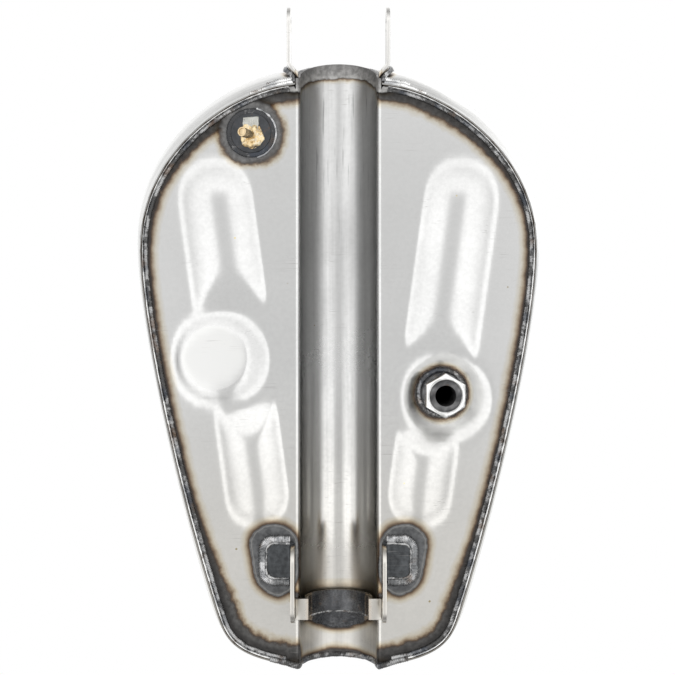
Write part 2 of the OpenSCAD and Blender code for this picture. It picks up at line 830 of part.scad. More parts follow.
// End of the stub, its knee, top of the riser, and a mouth under the summit
vent_route = [
    vent_stub_end,
    [-vent_tube_x, vent_tube_y, vent_bend_z],
    [-vent_tube_x, vent_tube_y, 0.42 * body_height],
    [-20, summit_y - 42, body_height - 15]
];

// A rod along the route, with a knuckle at each knee. longer carries both ends on.
module rod_along(route, r, longer) {
    knuckle = 0.08;
    last = len(route) - 2;
    for (i = [0:last]) {
        leg = route[i + 1] - route[i];
        before = i == 0 ? longer : 0;
        after = i == last ? longer : 0;
        translate(route[i]) rotate([0, acos(leg.z / norm(leg)), atan2(leg.y, leg.x)])
            translate([0, 0, -before]) cylinder(r = r, h = norm(leg) + before + after, $fn = 24);
    }
    for (i = [1:last]) translate(route[i]) sphere(r = r + knuckle, $fn = 24);
}

module vent_plate() {
    color(mill_scale) in_frame() translate([-vent_x, vent_y, -sheet]) difference() {
        cylinder(d = vent_plate_d, h = sheet);
        translate([vent_x - vent_tube_x, vent_tube_y - vent_y, -1]) cylinder(d = vent_d + 2 * fit, h = sheet + 2);
    }
}

module vent_plate_weld() {
    leg = 2.6;
    color(weld) in_frame() translate([-vent_x, vent_y, 0]) rotate_extrude()
        polygon([[vent_plate_d / 2, 0], [vent_plate_d / 2 + leg, 0], [vent_plate_d / 2, -sheet]]);
}

module vent_tube() {
    color(brass) in_frame() difference() {
        rod_along(vent_route, vent_d / 2, 0);
        rod_along(vent_route, vent_bore / 2, 1);
    }
}

// Ring of braze between the vent tube and its plate
module vent_tube_braze() {
    color(braze_gold) in_frame() translate([-vent_tube_x, vent_tube_y, -sheet - braze_height]) difference() {
        cylinder(r1 = vent_d / 2 + 1, r2 = vent_d / 2 + 4, h = braze_height);
        translate([0, 0, -1]) cylinder(d = vent_d + 2 * fit, h = braze_height + 2);
    }
}

// Push-in plug that keeps the end of the vent tube clean until its hose is fitted
module vent_tube_plug() {
    plug_length = 5;
    color(brass) in_frame() translate(vent_stub_end) rotate([0, vent_lean, 0])
        translate([0, 0, 0.6]) cylinder(d = vent_bore - fit, h = plug_length, $fn = 24);
}

// ---------------------------------------------------------------- filler

neck_top = filler_seat_z + neck_rise;

module at_filler(z) {
    translate([0, summit_y, z]) children();
}

module filler_neck() {
    color(bright_steel) in_frame() at_filler(filler_seat_z - neck_depth) difference() {
        cylinder(r = neck_radius, h = neck_depth + neck_rise);
        translate([0, 0, -1]) cylinder(d = filler_bore, h = neck_depth + neck_rise + 2);
    }
}

module filler_neck_weld() {
    leg = 3;
    color(weld) in_frame() at_filler(filler_seat_z) rotate_extrude()
        polygon([[neck_radius, 0], [neck_radius + leg, 0], [neck_radius, leg]]);
}

// ---------------------------------------------------------------- cap

gasket_top = neck_top + gasket_height;
plug_wall = 3;
plug_depth = 13;
thread_depth = 1.2;    // the plug's thread stands this far out from its core
disc_height = 4;       // of the plug's top disc
cover_wall = 1.6;
crimp = 1.2;           // of the cover's rim, folded under the plug's disc

module cap_gasket() {
    color(rubber) in_frame() at_filler(neck_top) difference() {
        cylinder(r = neck_radius, h = gasket_height);
        translate([0, 0, -1]) cylinder(d = filler_bore, h = gasket_height + 2);
    }
}

module cap_plug() {
    core_r = filler_bore / 2 - run_gap - thread_depth;
    color(dark_plastic) in_frame() at_filler(gasket_top) difference() {
        union() {
            cylinder(r = cap_d / 2 - cover_wall - fit, h = disc_height);
            translate([0, 0, -plug_depth]) cylinder(r = core_r, h = plug_depth);
        }
        translate([0, 0, -plug_depth - 1]) cylinder(r = core_r - plug_wall, h = plug_depth + 2);
    }
}

// Half section of the cap's outer surface as [r, z], drawn in by inset
module cap_profile(inset) {
    round_r = 6;
    shoulder_z = cap_height - round_r - 3;
    dome_r = cap_d * 0.95;
    r = cap_d / 2 - inset;
    intersection() {
        union() {
            square([r, shoulder_z]);
            square([r - round_r, cap_height]);
            translate([r - round_r, shoulder_z]) circle(r = round_r);
        }
        translate([0, cap_height - inset - dome_r]) circle(r = dome_r, $fn = 96);
        square([r, cap_height]);
    }
}

// Chromed cover with finger flutes, crimped round the plug's disc
module cap_cover() {
    flute_r = 5;
    color(chrome) in_frame() at_filler(gasket_top) difference() {
        union() {
            rotate_extrude() cap_profile(0);
            translate([0, 0, -crimp]) cylinder(d = cap_d, h = crimp + 0.01);
        }
        rotate_extrude() difference() {
            cap_profile(cover_wall);
            translate([0, -far]) square([far, far]);
        }
        translate([0, 0, -crimp - 1]) cylinder(r = neck_radius + 1, h = crimp + 2);
        for (k = [0:cap_flutes - 1])
            rotate(360 * k / cap_flutes) translate([cap_d / 2 + flute_r - 1, 0, -far / 8])
                cylinder(r = flute_r, h = far, $fn = 24);
    }
}

top_shell();
bottom_pan();
seam_weld_left();
seam_weld_right();
tunnel_weld_front();
tunnel_weld_rear();
front_ear_left();
front_ear_right();
front_ear_weld_left();
front_ear_weld_right();
rear_bracket_left();
rear_bracket_right();
rear_bracket_weld_left();
rear_bracket_weld_right();
rear_saddle_strap();
saddle_strap_weld();
outlet_bung();
outlet_bung_weld();
outlet_union_nut();
vent_plate();
vent_plate_weld();
vent_tube();
vent_tube_braze();
vent_tube_plug();
filler_neck();
filler_neck_weld();
cap_gasket();
cap_plug();
cap_cover();
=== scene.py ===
# %% [markdown]
# # A bare steel fuel tank, finished in Blender
#
# The tank's construction already exists as an exact CAD model. This lesson loads it and gives it
# the skin that a real one has: a pressed floor with soft creases, weld beads with heat colours
# round them, a turned and milled outlet, and a chromed cap. Every length is in metres, in the
# frame of the CAD model: X to the rider's left, Y to the rear and Z up.

import json
import math

import bmesh
import bpy
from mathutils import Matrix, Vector
from mathutils.bvhtree import BVHTree
from mathutils.geometry import interpolate_bezier

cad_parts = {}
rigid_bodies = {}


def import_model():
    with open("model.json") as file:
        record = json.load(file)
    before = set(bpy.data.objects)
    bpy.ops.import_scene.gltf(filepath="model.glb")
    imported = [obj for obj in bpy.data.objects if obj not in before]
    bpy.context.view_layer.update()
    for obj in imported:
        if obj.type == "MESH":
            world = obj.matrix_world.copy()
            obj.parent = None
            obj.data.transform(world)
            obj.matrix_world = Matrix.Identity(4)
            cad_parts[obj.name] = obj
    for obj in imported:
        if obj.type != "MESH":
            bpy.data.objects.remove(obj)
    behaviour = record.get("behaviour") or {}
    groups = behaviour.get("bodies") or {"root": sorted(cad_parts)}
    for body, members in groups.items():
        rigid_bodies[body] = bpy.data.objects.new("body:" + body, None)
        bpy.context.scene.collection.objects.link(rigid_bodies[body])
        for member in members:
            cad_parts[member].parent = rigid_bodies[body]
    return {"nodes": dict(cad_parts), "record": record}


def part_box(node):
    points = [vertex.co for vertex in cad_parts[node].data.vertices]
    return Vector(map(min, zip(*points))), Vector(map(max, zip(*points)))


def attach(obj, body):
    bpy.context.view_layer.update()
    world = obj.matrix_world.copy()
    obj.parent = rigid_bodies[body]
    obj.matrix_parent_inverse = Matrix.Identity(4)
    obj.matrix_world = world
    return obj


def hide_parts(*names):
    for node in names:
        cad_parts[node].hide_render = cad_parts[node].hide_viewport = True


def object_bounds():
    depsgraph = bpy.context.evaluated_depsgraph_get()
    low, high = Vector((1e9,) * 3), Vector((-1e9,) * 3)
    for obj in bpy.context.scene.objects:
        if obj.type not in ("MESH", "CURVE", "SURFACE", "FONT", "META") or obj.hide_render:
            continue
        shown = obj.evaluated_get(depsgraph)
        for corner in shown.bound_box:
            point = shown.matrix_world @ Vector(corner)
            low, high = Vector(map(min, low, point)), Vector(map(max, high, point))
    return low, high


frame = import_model()
nodes = frame["nodes"]
cad_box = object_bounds()

MM = 0.001
TAIL = 424.0        # length of the floor, in millimetres from the tunnel's mouth
floor_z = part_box("vent_plate")[1].z                 # the flat underside of the floor
mouth_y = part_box("bottom_pan")[1].y - TAIL * MM     # the tunnel's mouth
print("tank is", [round(v / MM) for v in cad_box[1] - cad_box[0]], "mm over all")


def at(x, y, z):
    """A point in the tank's own measure: millimetres from the middle of the tunnel's mouth."""
    return Vector((x * MM, mouth_y + y * MM, floor_z + z * MM))


# %% [markdown]
# ## The camera
#
# The tank is looked at from straight below, with its nose at the top of the frame, because the
# floor, the tunnel and all the fittings are there. The camera stands 800 mm away. That is near
# enough for the nose to show round the floor's edge, as it does when such a tank lies on a table.

# %% Camera under the tank
CAMERA_DISTANCE = 800
VIEW_ANGLE = 33.06

camera_data = bpy.data.cameras.new("camera")
camera = bpy.data.objects.new("camera", camera_data)
bpy.context.scene.collection.objects.link(camera)
camera.location = at(-0.7, 190.8, -CAMERA_DISTANCE)
camera.rotation_euler = (math.pi, 0, 0)
camera_data.angle = math.radians(VIEW_ANGLE)
camera_data.clip_start = 0.01
camera_data.clip_end = 20
bpy.context.scene.camera = camera
bpy.context.scene.view_settings.view_transform = "Standard"
seen = 2 * CAMERA_DISTANCE * math.tan(camera_data.angle / 2)
print("the camera sees", round(seen), "mm across the floor")

# %% [markdown]
# ## Light
#
# Bare steel shows little colour of its own. What makes it readable is what it reflects, so the
# studio is built for reflections: a pale room that darkens towards the horizon, a bright softbox
# on either side of the tank and one ahead of it. The world draws them by direction. Camera rays
# see plain white instead, which gives the clean background.


# %% Helpers that wire nodes together
def link(tree, source, target):
    tree.links.new(source, target)


def maths(tree, operation, a, b=None, clamp=False):
    """A Math node whose inputs are numbers or sockets."""
    node = tree.nodes.new("ShaderNodeMath")
    node.operation = operation
    node.use_clamp = clamp
    for socket, value in zip(node.inputs, (a, b)):
        if isinstance(value, bpy.types.NodeSocket):
            link(tree, value, socket)
        elif value is not None:
            socket.default_value = value
    return node.outputs[0]


def times(tree, a, b):
    return maths(tree, "MULTIPLY", a, b)


def plus(tree, a, b):
    return maths(tree, "ADD", a, b)


def smooth_step(tree, value, low, high, to_low=0.0, to_high=1.0):
    """Maps a value from one range to another with soft ends."""
    node = tree.nodes.new("ShaderNodeMapRange")
    node.interpolation_type = "SMOOTHSTEP"
    link(tree, value, node.inputs["Value"])
    for name, number in (("From Min", low), ("From Max", high), ("To Min", to_low), ("To Max", to_high)):
        node.inputs[name].default_value = number
    return node.outputs[0]


def between(tree, value, start, full, fade, end):
    """1 from full to fade, and softly down to 0 at start and at end."""
    return times(tree, smooth_step(tree, value, start, full), smooth_step(tree, value, end, fade))


def show(tree, output, factor, first, second):
    """Mixes two shader nodes by a factor and sends the result to the output."""
    choose = tree.nodes.new("ShaderNodeMixShader")
    link(tree, factor, choose.inputs["Fac"])
    link(tree, first.outputs[0], choose.inputs[1])
    link(tree, second.outputs[0], choose.inputs[2])
    link(tree, choose.outputs[0], tree.nodes.new(output).inputs["Surface"])


# %% A studio drawn in the world
world = bpy.data.worlds.new("studio")
bpy.context.scene.world = world
world.use_nodes = True
sky = world.node_tree
sky.nodes.clear()
split = sky.nodes.new("ShaderNodeSeparateXYZ")
link(sky, sky.nodes.new("ShaderNodeTexCoord").outputs["Generated"], split.inputs[0])
height = maths(sky, "MAXIMUM", maths(sky, "ABSOLUTE", split.outputs["Z"]), 0.02)
across = maths(sky, "DIVIDE", maths(sky, "ABSOLUTE", split.outputs["X"]), height)
along = maths(sky, "DIVIDE", split.outputs["Y"], height)
# These are slopes off the vertical: the side boxes run from 11 to 70 degrees, and the front box
# starts at 13 degrees
side_box = between(sky, across, 0.185, 0.290, 2.2, 4.0)
side_box = times(sky, side_box, smooth_step(sky, along, 2.4, 1.3))
front_box = between(sky, along, -0.23, -0.34, -2.2, -4.0)
boxes = maths(sky, "MAXIMUM", side_box, front_box)
lean = maths(sky, "MAXIMUM", across, maths(sky, "ABSOLUTE", along))
boxes = times(sky, boxes, smooth_step(sky, lean, 0.45, 1.8, 1.20, 0.75))
room = smooth_step(sky, height, 0.12, 0.80, 0.26, 0.84)
above = smooth_step(sky, split.outputs["Z"], -0.02, 0.20)
room = maths(sky, "MAXIMUM", room, times(sky, above, 0.62))
share = smooth_step(sky, above, 0.0, 1.0, 0.60, 0.30)
studio = sky.nodes.new("ShaderNodeBackground")
link(sky, plus(sky, room, times(sky, boxes, share)), studio.inputs["Strength"])
white = sky.nodes.new("ShaderNodeBackground")
white.inputs["Strength"].default_value = 1.0
for background in (studio, white):
    background.inputs["Color"].default_value = (1, 1, 1, 1)
eye = sky.nodes.new("ShaderNodeLightPath")
show(sky, "ShaderNodeOutputWorld", eye.outputs["Is Camera Ray"], studio, white)
print("the studio has", len(sky.nodes), "nodes")


# %% A weak lamp over the tank, for its highlight and its shadow on the table
middle = at(0, 200, 40)
lamp = bpy.data.lights.new("lamp_above", "AREA")
lamp.shape = "DISK"
lamp.size = 0.80
lamp.energy = 0.6
holder = bpy.data.objects.new("lamp_above", lamp)
bpy.context.scene.collection.objects.link(holder)
holder.location = at(450, -300, 900)
holder.rotation_euler = (middle - holder.location).to_track_quat("-Z", "Y").to_euler()
print("lamp stands", round((middle - holder.location).length / MM), "mm from the tank's middle")

# %% [markdown]
# ## The floor of the studio
#
# The table is only there for a camera that looks down on the tank. From below it must not hide
# the tank or shade it, so its material shows its upper side to the camera and is clear otherwise.


# %% Pale table, clear from below
def new_material(name):
    material = bpy.data.materials.new(name)
    material.use_nodes = True
    material.node_tree.nodes.clear()
    return material, material.node_tree


bpy.ops.object.select_all(action="DESELECT")
bpy.ops.mesh.primitive_plane_add(size=6, location=(0, 0.22, cad_box[0].z - 0.0005))
table = bpy.context.object
table.name = "table"
table_finish, tree = new_material("pale_table")
paint = tree.nodes.new("ShaderNodeBsdfDiffuse")
paint.inputs["Color"].default_value = (0.90, 0.90, 0.89, 1)
glow = tree.nodes.new("ShaderNodeEmission")
glow.inputs["Strength"].default_value = 0.32
lit = tree.nodes.new("ShaderNodeAddShader")
link(tree, paint.outputs[0], lit.inputs[0])
link(tree, glow.outputs[0], lit.inputs[1])
clear = tree.nodes.new("ShaderNodeBsdfTransparent")
eye = tree.nodes.new("ShaderNodeLightPath")
side = tree.nodes.new("ShaderNodeNewGeometry")
from_above = maths(tree, "SUBTRACT", eye.outputs["Is Camera Ray"], side.outputs["Backfacing"], clamp=True)
show(tree, "ShaderNodeOutputMaterial", from_above, clear, lit)
table.data.materials.append(table_finish)
print("table lies at", round(table.location.z / MM, 1), "mm")

# %% [markdown]
# ## Effects that several finishes share
#
# Four things happen to sheet steel in a welding shop: it is rolled, so it has a fine mottled
# grain; it is dragged over benches, so it has hairline scratches; it is heated, so colours creep
# away from each weld; and it catches spatter and specks of rust. Each is a node group, built once
# and placed in a material with that material's own values.


# %% A helper that starts a node group
def effect(name, inputs, outputs):
    """A shader node group with named inputs (name, kind, value) and outputs (name, kind)."""
    tree = bpy.data.node_groups.new(name, "ShaderNodeTree")
    for title, kind, value in inputs:
        socket = tree.interface.new_socket(name=title, in_out="INPUT", socket_type=kind)
        socket.default_value = value
    for title, kind in outputs:
        tree.interface.new_socket(name=title, in_out="OUTPUT", socket_type=kind)
    return tree, tree.nodes.new("NodeGroupInput").outputs, tree.nodes.new("NodeGroupOutput").inputs


NUMBER, COLOUR = "NodeSocketFloat", "NodeSocketColor"


def object_place(tree, scale=(1, 1, 1), turn=(0, 0, 0)):
    """Object coordinates, turned and then stretched by a Mapping node."""
    mapping = tree.nodes.new("ShaderNodeMapping")
    mapping.vector_type = "POINT"
    mapping.inputs["Scale"].default_value = scale
    mapping.inputs["Rotation"].default_value = [math.radians(a) for a in turn]
    link(tree, tree.nodes.new("ShaderNodeTexCoord").outputs["Object"], mapping.inputs["Vector"])
    return mapping.outputs[0]


def noise(tree, place, scale, detail=3.0, rough=0.5):
    node = tree.nodes.new("ShaderNodeTexNoise")
    link(tree, place, node.inputs["Vector"])
    if isinstance(scale, bpy.types.NodeSocket):
        link(tree, scale, node.inputs["Scale"])
    else:
        node.inputs["Scale"].default_value = scale
    node.inputs["Detail"].default_value = detail
    node.inputs["Roughness"].default_value = rough
    return node.outputs["Fac"]


# %% Rolled grain
tree, given, made = effect(
    "rolled grain",
    [("Cloud", NUMBER, 14.0), ("Mottle", NUMBER, 320.0)],
    [("Shade", NUMBER), ("Height", NUMBER)],
)
place = object_place(tree)
clouds = smooth_step(tree, noise(tree, place, given["Cloud"], 4, 0.55), 0.30, 0.70, 0.93, 1.04)
mottle = smooth_step(tree, noise(tree, place, given["Mottle"], 2, 0.6), 0.30, 0.70, 0.97, 1.02)
link(tree, times(tree, clouds, mottle), made["Shade"])
link(tree, noise(tree, place, given["Mottle"], 4, 0.6), made["Height"])
print(tree.name, "has", len(tree.nodes), "nodes")

# %% Hairline scratches, in two directions
tree, given, made = effect("hairlines", [("Turn", NUMBER, 0.0)], [("Mask", NUMBER)])
lines = None
for turn, stretch in ((24, 1.0), (-58, 1.3), (83, 0.8)):
    place = object_place(tree, (26 * stretch, 1900, 500), (0, 0, turn))
    shift = tree.nodes.new("ShaderNodeVectorMath")
    shift.operation = "ADD"
    link(tree, place, shift.inputs[0])
    link(tree, given["Turn"], shift.inputs[1])
    line = smooth_step(tree, noise(tree, shift.outputs[0], 1.0, 1, 0.5), 0.69, 0.77)
    lines = line if lines is None else maths(tree, "MAXIMUM", lines, line)
sparse = smooth_step(tree, noise(tree, object_place(tree), 30.0, 2), 0.54, 0.66)
link(tree, times(tree, lines, sparse), made["Mask"])
print(tree.name, "has", len(tree.nodes), "nodes")

# %% Specks of spatter and rust
tree, given, made = effect(
    "specks", [("Spacing", NUMBER, 90.0), ("Size", NUMBER, 0.05), ("Share", NUMBER, 0.25)],
    [("Mask", NUMBER), ("Tone", NUMBER)],
)
cells = tree.nodes.new("ShaderNodeTexVoronoi")
link(tree, object_place(tree), cells.inputs["Vector"])
link(tree, given["Spacing"], cells.inputs["Scale"])
split = tree.nodes.new("ShaderNodeSeparateColor")
link(tree, cells.outputs["Color"], split.inputs[0])
dot = maths(tree, "LESS_THAN", cells.outputs["Distance"], times(tree, given["Size"], split.outputs[1]))
kept = maths(tree, "LESS_THAN", split.outputs[0], given["Share"])
link(tree, times(tree, dot, kept), made["Mask"])
link(tree, split.outputs[2], made["Tone"])
print(tree.name, "has", len(tree.nodes), "nodes")

# %% [markdown]
# ## Heat colours
#
# Where steel is welded it oxidises. Against the bead it is covered with grey scale, then come
# brown and straw, and past that the sheet keeps its own colour. All of it depends on the distance
# to the nearest weld, so each sheet carries that distance in millimetres as an attribute, and
# this group turns it into a colour and a mask for the scale. A noise makes the border wander.

# %% Heat tint
HEAT_COLOURS = [
    (0.00, (0.110, 0.088, 0.078)),
    (0.14, (0.250, 0.180, 0.130)),
    (0.34, (0.620, 0.520, 0.400)),
    (0.60, (0.920, 0.870, 0.770)),
    (1.00, (1.000, 1.000, 1.000)),
]
tree, given, made = effect(
    "heat tint",
    [("Distance", NUMBER, 50.0), ("Black", NUMBER, 2.0), ("Fade", NUMBER, 8.0), ("Wander", NUMBER, 0.5),
     ("Soft", NUMBER, 1.2)],
    [("Colour", COLOUR), ("Scale", NUMBER), ("Rim", NUMBER)],
)
place = object_place(tree)
wobble = maths(tree, "SUBTRACT", noise(tree, place, 130.0, 4, 0.65), 0.5)
broad = maths(tree, "SUBTRACT", noise(tree, place, 28.0, 2, 0.5), 0.5)
stray = times(tree, plus(tree, wobble, broad), given["Wander"])
reach = plus(tree, given["Black"], times(tree, given["Fade"], 0.4))
past = plus(tree, given["Distance"], times(tree, stray, reach))
past = maths(tree, "SUBTRACT", past, given["Black"])
ramp = tree.nodes.new("ShaderNodeValToRGB")
while len(ramp.color_ramp.elements) < len(HEAT_COLOURS):
    ramp.color_ramp.elements.new(0.5)
for element, (position, colour) in zip(ramp.color_ramp.elements, HEAT_COLOURS):
    element.position = position
    element.color = (*colour, 1)
link(tree, maths(tree, "DIVIDE", past, given["Fade"]), ramp.inputs["Fac"])
link(tree, ramp.outputs["Color"], made["Colour"])
inside = maths(tree, "SUBTRACT", 0.4, maths(tree, "DIVIDE", past, given["Soft"]), clamp=True)
link(tree, smooth_step(tree, inside, 0.0, 1.0), made["Scale"])
share = maths(tree, "DIVIDE", past, given["Black"])
link(tree, between(tree, share, -0.26, -0.18, -0.17, -0.10), made["Rim"])
print(tree.name, "has", len(tree.nodes), "nodes")


# %% [markdown]
# ## Finishes
#
# Each finish is one material with a Principled shader of its own. The helpers below do what all
# the steel finishes have in common, and take the amounts that differ. A sheet's tone, its
# roughness and its metallic share all change where scale covers it.


# %% Helpers that place an effect and mix colours
def placed(tree, name, **values):
    """Places an effect group and sets its inputs to numbers or sockets."""
    node = tree.nodes.new("ShaderNodeGroup")
    node.node_tree = bpy.data.node_groups[name]
    for title, value in values.items():
        if isinstance(value, bpy.types.NodeSocket):
            link(tree, value, node.inputs[title])
        else:
            node.inputs[title].default_value = value
    return node.outputs


def blend(tree, factor, a, b, mode="MIX"):
    """Mixes two colours, given as sockets or as (r, g, b)."""
    node = tree.nodes.new("ShaderNodeMix")
    node.data_type = "RGBA"
    node.blend_type = mode
    for socket, value in ((node.inputs[0], factor), (node.inputs[6], a), (node.inputs[7], b)):
        if isinstance(value, bpy.types.NodeSocket):
            link(tree, value, socket)
        elif isinstance(value, tuple):
            socket.default_value = (*value, 1)
        else:
            socket.default_value = value
    return node.outputs[2]


def attribute(tree, name):
    node = tree.nodes.new("ShaderNodeAttribute")
    node.attribute_name = name
    return node.outputs["Fac"]


def grey(tree, value):
    """The same number in all three channels, to shade a colour with."""
    node = tree.nodes.new("ShaderNodeCombineColor")
    for socket in node.inputs:
        link(tree, value, socket)
    return node.outputs[0]


def shaded(tree, colour, amount):
    """Multiplies a colour by a number."""
    return blend(tree, 1.0, colour, grey(tree, amount), "MULTIPLY")


def surface(tree, colour, gloss, metal, height, depth):
    """Ends a material: depth is the relief in millimetres where height is 1."""
    shader = tree.nodes.new("ShaderNodeBsdfPrincipled")
    bump = tree.nodes.new("ShaderNodeBump")
    bump.inputs["Strength"].default_value = 1.0
    bump.inputs["Distance"].default_value = depth * MM
    link(tree, height, bump.inputs["Height"])
    link(tree, bump.outputs[0], shader.inputs["Normal"])
    link(tree, colour, shader.inputs["Base Color"])
    link(tree, gloss, shader.inputs["Roughness"])
    if isinstance(metal, bpy.types.NodeSocket):
        link(tree, metal, shader.inputs["Metallic"])
    else:
        shader.inputs["Metallic"].default_value = metal
    output = tree.nodes.new("ShaderNodeOutputMaterial")
    link(tree, shader.outputs[0], output.inputs["Surface"])


# %% Where a point is on the tank
def xyz(tree):
    """The three object coordinates as separate numbers."""
    split = tree.nodes.new("ShaderNodeSeparateXYZ")
    link(tree, tree.nodes.new("ShaderNodeTexCoord").outputs["Object"], split.inputs[0])
    return split.outputs


def along_tank(tree, place, start, stop, low=0.0, high=1.0):
    """A soft step between two places along the tank, in millimetres from the tunnel's mouth."""
    return smooth_step(tree, place["Y"], mouth_y + start * MM, mouth_y + stop * MM, low, high)


# %% Skin of the tunnel with painted shade on its sides, and a painted reflection on the boss
BOSS_MIDDLE = (-87, 205)
TUNNEL_EDGE = (26.8 * MM, 28.5 * MM)        # the bend beside the tunnel
BOSS_EDGE = (21.5 * MM, 23.5 * MM)          # the rim of the boss's flat face


def tunnel_streaks_and_shade(tree, place, colour, gloss):
    """The tunnel keeps the mill's darker skin, drawn out in streaks along its length; painted shade darkens
    its sides.
    """
    off_middle = maths(tree, "ABSOLUTE", place["X"])
    inside = smooth_step(tree, off_middle, *TUNNEL_EDGE, 1.0, 0.0)
    streaks = noise(tree, object_place(tree, (300, 7, 300)), 1.0, 3, 0.55)
    blotch = noise(tree, object_place(tree, (40, 14, 40)), 1.0, 3, 0.5)
    skin_and_shade = smooth_step(tree, plus(tree, streaks, blotch), 0.70, 1.30, 0.84, 1.00)
    to_rear = along_tank(tree, place, 50, 360)
    skin_and_shade = times(tree, skin_and_shade, smooth_step(tree, to_rear, 0.0, 1.0, 0.92, 1.02))
    # Painted shade: from 8 to 20 mm off the middle, the tunnel's sides are darkened by up to a third,
    # fading out at its rear end
    painted_side_shade = smooth_step(tree, off_middle, 8 * MM, 20 * MM, 0.0, 0.34)
    painted_side_shade = times(tree, painted_side_shade, along_tank(tree, place, 402, 385))
    skin_and_shade = times(tree, skin_and_shade, maths(tree, "SUBTRACT", 1.0, painted_side_shade))
    # Dragging the sheet off its former has scored the front of the tunnel
    scores = noise(tree, object_place(tree, (620, 26, 620)), 1.0, 2, 0.5)
    scores = smooth_step(tree, scores, 0.62, 0.72)
    scores = times(tree, scores, along_tank(tree, place, 150, 20, 0.0, 0.40))
    skin_and_shade = times(tree, skin_and_shade, maths(tree, "SUBTRACT", 1.0, scores))
    skin_and_shade = plus(tree, 1.0, times(tree, inside, maths(tree, "SUBTRACT", skin_and_shade, 1.0)))
    # The welder's brush has left the rear of it duller
    dull = smooth_step(tree, to_rear, 0.0, 1.0, 0.12, -0.04)
    for start, stop, amount in ((320, 355, 0.12), (388, 402, 0.18)):
        dull = plus(tree, dull, along_tank(tree, place, start, stop, 0.0, amount))
    return shaded(tree, colour, skin_and_shade), plus(tree, gloss, times(tree, inside, dull))


def painted_boss_reflection(tree, place, colour, gloss):
    """The boss's flat face is painted paler, a painted reflection of a bright softbox, and made duller."""
    flat = tree.nodes.new("ShaderNodeCombineXYZ")
    away = tree.nodes.new("ShaderNodeVectorMath")
    away.operation = "DISTANCE"
    for axis in "XY":
        link(tree, place[axis], flat.inputs[axis])
    link(tree, flat.outputs[0], away.inputs[0])
    away.inputs[1].default_value = (*at(*BOSS_MIDDLE, 0).xy, 0)
    # Painted reflection: out to its rim, the boss's face is mixed towards pale grey
    boss_reflection_mask = smooth_step(tree, away.outputs["Value"], *BOSS_EDGE, 1.0, 0.0)
    return blend(tree, boss_reflection_mask, colour, (0.70, 0.70, 0.69)), plus(tree, gloss, times(tree, boss_reflection_mask, 0.12))


# %% Lines and painted shade on the shell's flank
def flank_lines_and_shade(tree, place, colour):
    """Drawing the sheet over the press tool leaves fine lines beside the seam, parallel to it. Next to the
    seam the flank has painted shade where it flares steeply.
    """
    away = attribute(tree, "seam_mm")
    pattern = tree.nodes.new("ShaderNodeCombineXYZ")
    link(tree, times(tree, away, 1.3), pattern.inputs["X"])
    link(tree, times(tree, place["Y"], 14.0), pattern.inputs["Y"])
    drawn = smooth_step(tree, noise(tree, pattern.outputs[0], 1.0, 3, 0.6), 0.38, 0.62, 0.70, 1.0)
    beside = smooth_step(tree, away, 9.0, 22.0, 1.0, 0.0)
    drawn = maths(tree, "MAXIMUM", drawn, maths(tree, "SUBTRACT", 1.0, beside))
    # Painted shade: within 4 mm of the seam the flank is darkened, down to 0.6 at the seam
    return shaded(tree, colour, times(tree, drawn, smooth_step(tree, away, 0.5, 4.0, 0.60, 1.0)))


# %% Scale and heat colours of each kind of weld
# For each kind of weld: the colour of its scale close by and farther out, how far the scale's edge
# wanders, how soft that edge is in millimetres, and whether the scale has a paler rim
SCALES = {
    "seam": ((0.030, 0.028, 0.027), (0.095, 0.093, 0.090), 0.65, 3.2, 0.0),
    "tail": ((0.075, 0.073, 0.071), (0.150, 0.147, 0.143), 0.45, 2.6, 0.0),
    "mouth": ((0.200, 0.196, 0.192), (0.360, 0.355, 0.345), 0.40, 1.6, 0.0),
    "patch": ((0.095, 0.097, 0.100), (0.135, 0.138, 0.140), 0.22, 0.9, 1.0),
    "vent": ((0.060, 0.060, 0.062), (0.170, 0.168, 0.165), 0.55, 5.0, 0.0),
    "ring": ((0.070, 0.066, 0.064), (0.100, 0.096, 0.092), 0.40, 1.2, 0.0),
}


def seam_scale(tree, place, base, nose, tail):
    """The width of the seam's scale, which grows towards the nose and the tail."""
    at_nose = along_tank(tree, place, 105, 30, 0.0, nose)
    at_tail = along_tank(tree, place, 300, 400, 0.0, tail)
    to_right = smooth_step(tree, place["X"], 30 * MM, -60 * MM, 0.75, 1.35)
    return plus(tree, base, plus(tree, at_nose, times(tree, at_tail, to_right)))


def burn(tree, colour, grain, black, fade, scales):
    """Tints a colour round every weld, and says where scale has dulled it."""
    dulled = None
    crumbs = smooth_step(tree, grain["Height"], 0.30, 0.70, 0.70, 1.30)
    for weld, (near, far, wander, soft, rim) in scales.items():
        away = attribute(tree, weld + "_mm")
        heat = placed(
            tree, "heat tint",
            Distance=away, Black=black[weld], Fade=fade[weld], Wander=wander, Soft=soft,
        )
        colour = blend(tree, 1.0, colour, heat["Colour"], "MULTIPLY")
        crust = shaded(tree, blend(tree, smooth_step(tree, away, 0.5, 8.0), near, far), crumbs)
        if rim:
            crust = blend(tree, times(tree, heat["Rim"], 0.45), crust, (0.34, 0.33, 0.31))
        colour = blend(tree, heat["Scale"], colour, crust)
        dulled = heat["Scale"] if dulled is None else maths(tree, "MAXIMUM", dulled, heat["Scale"])
    return colour, dulled


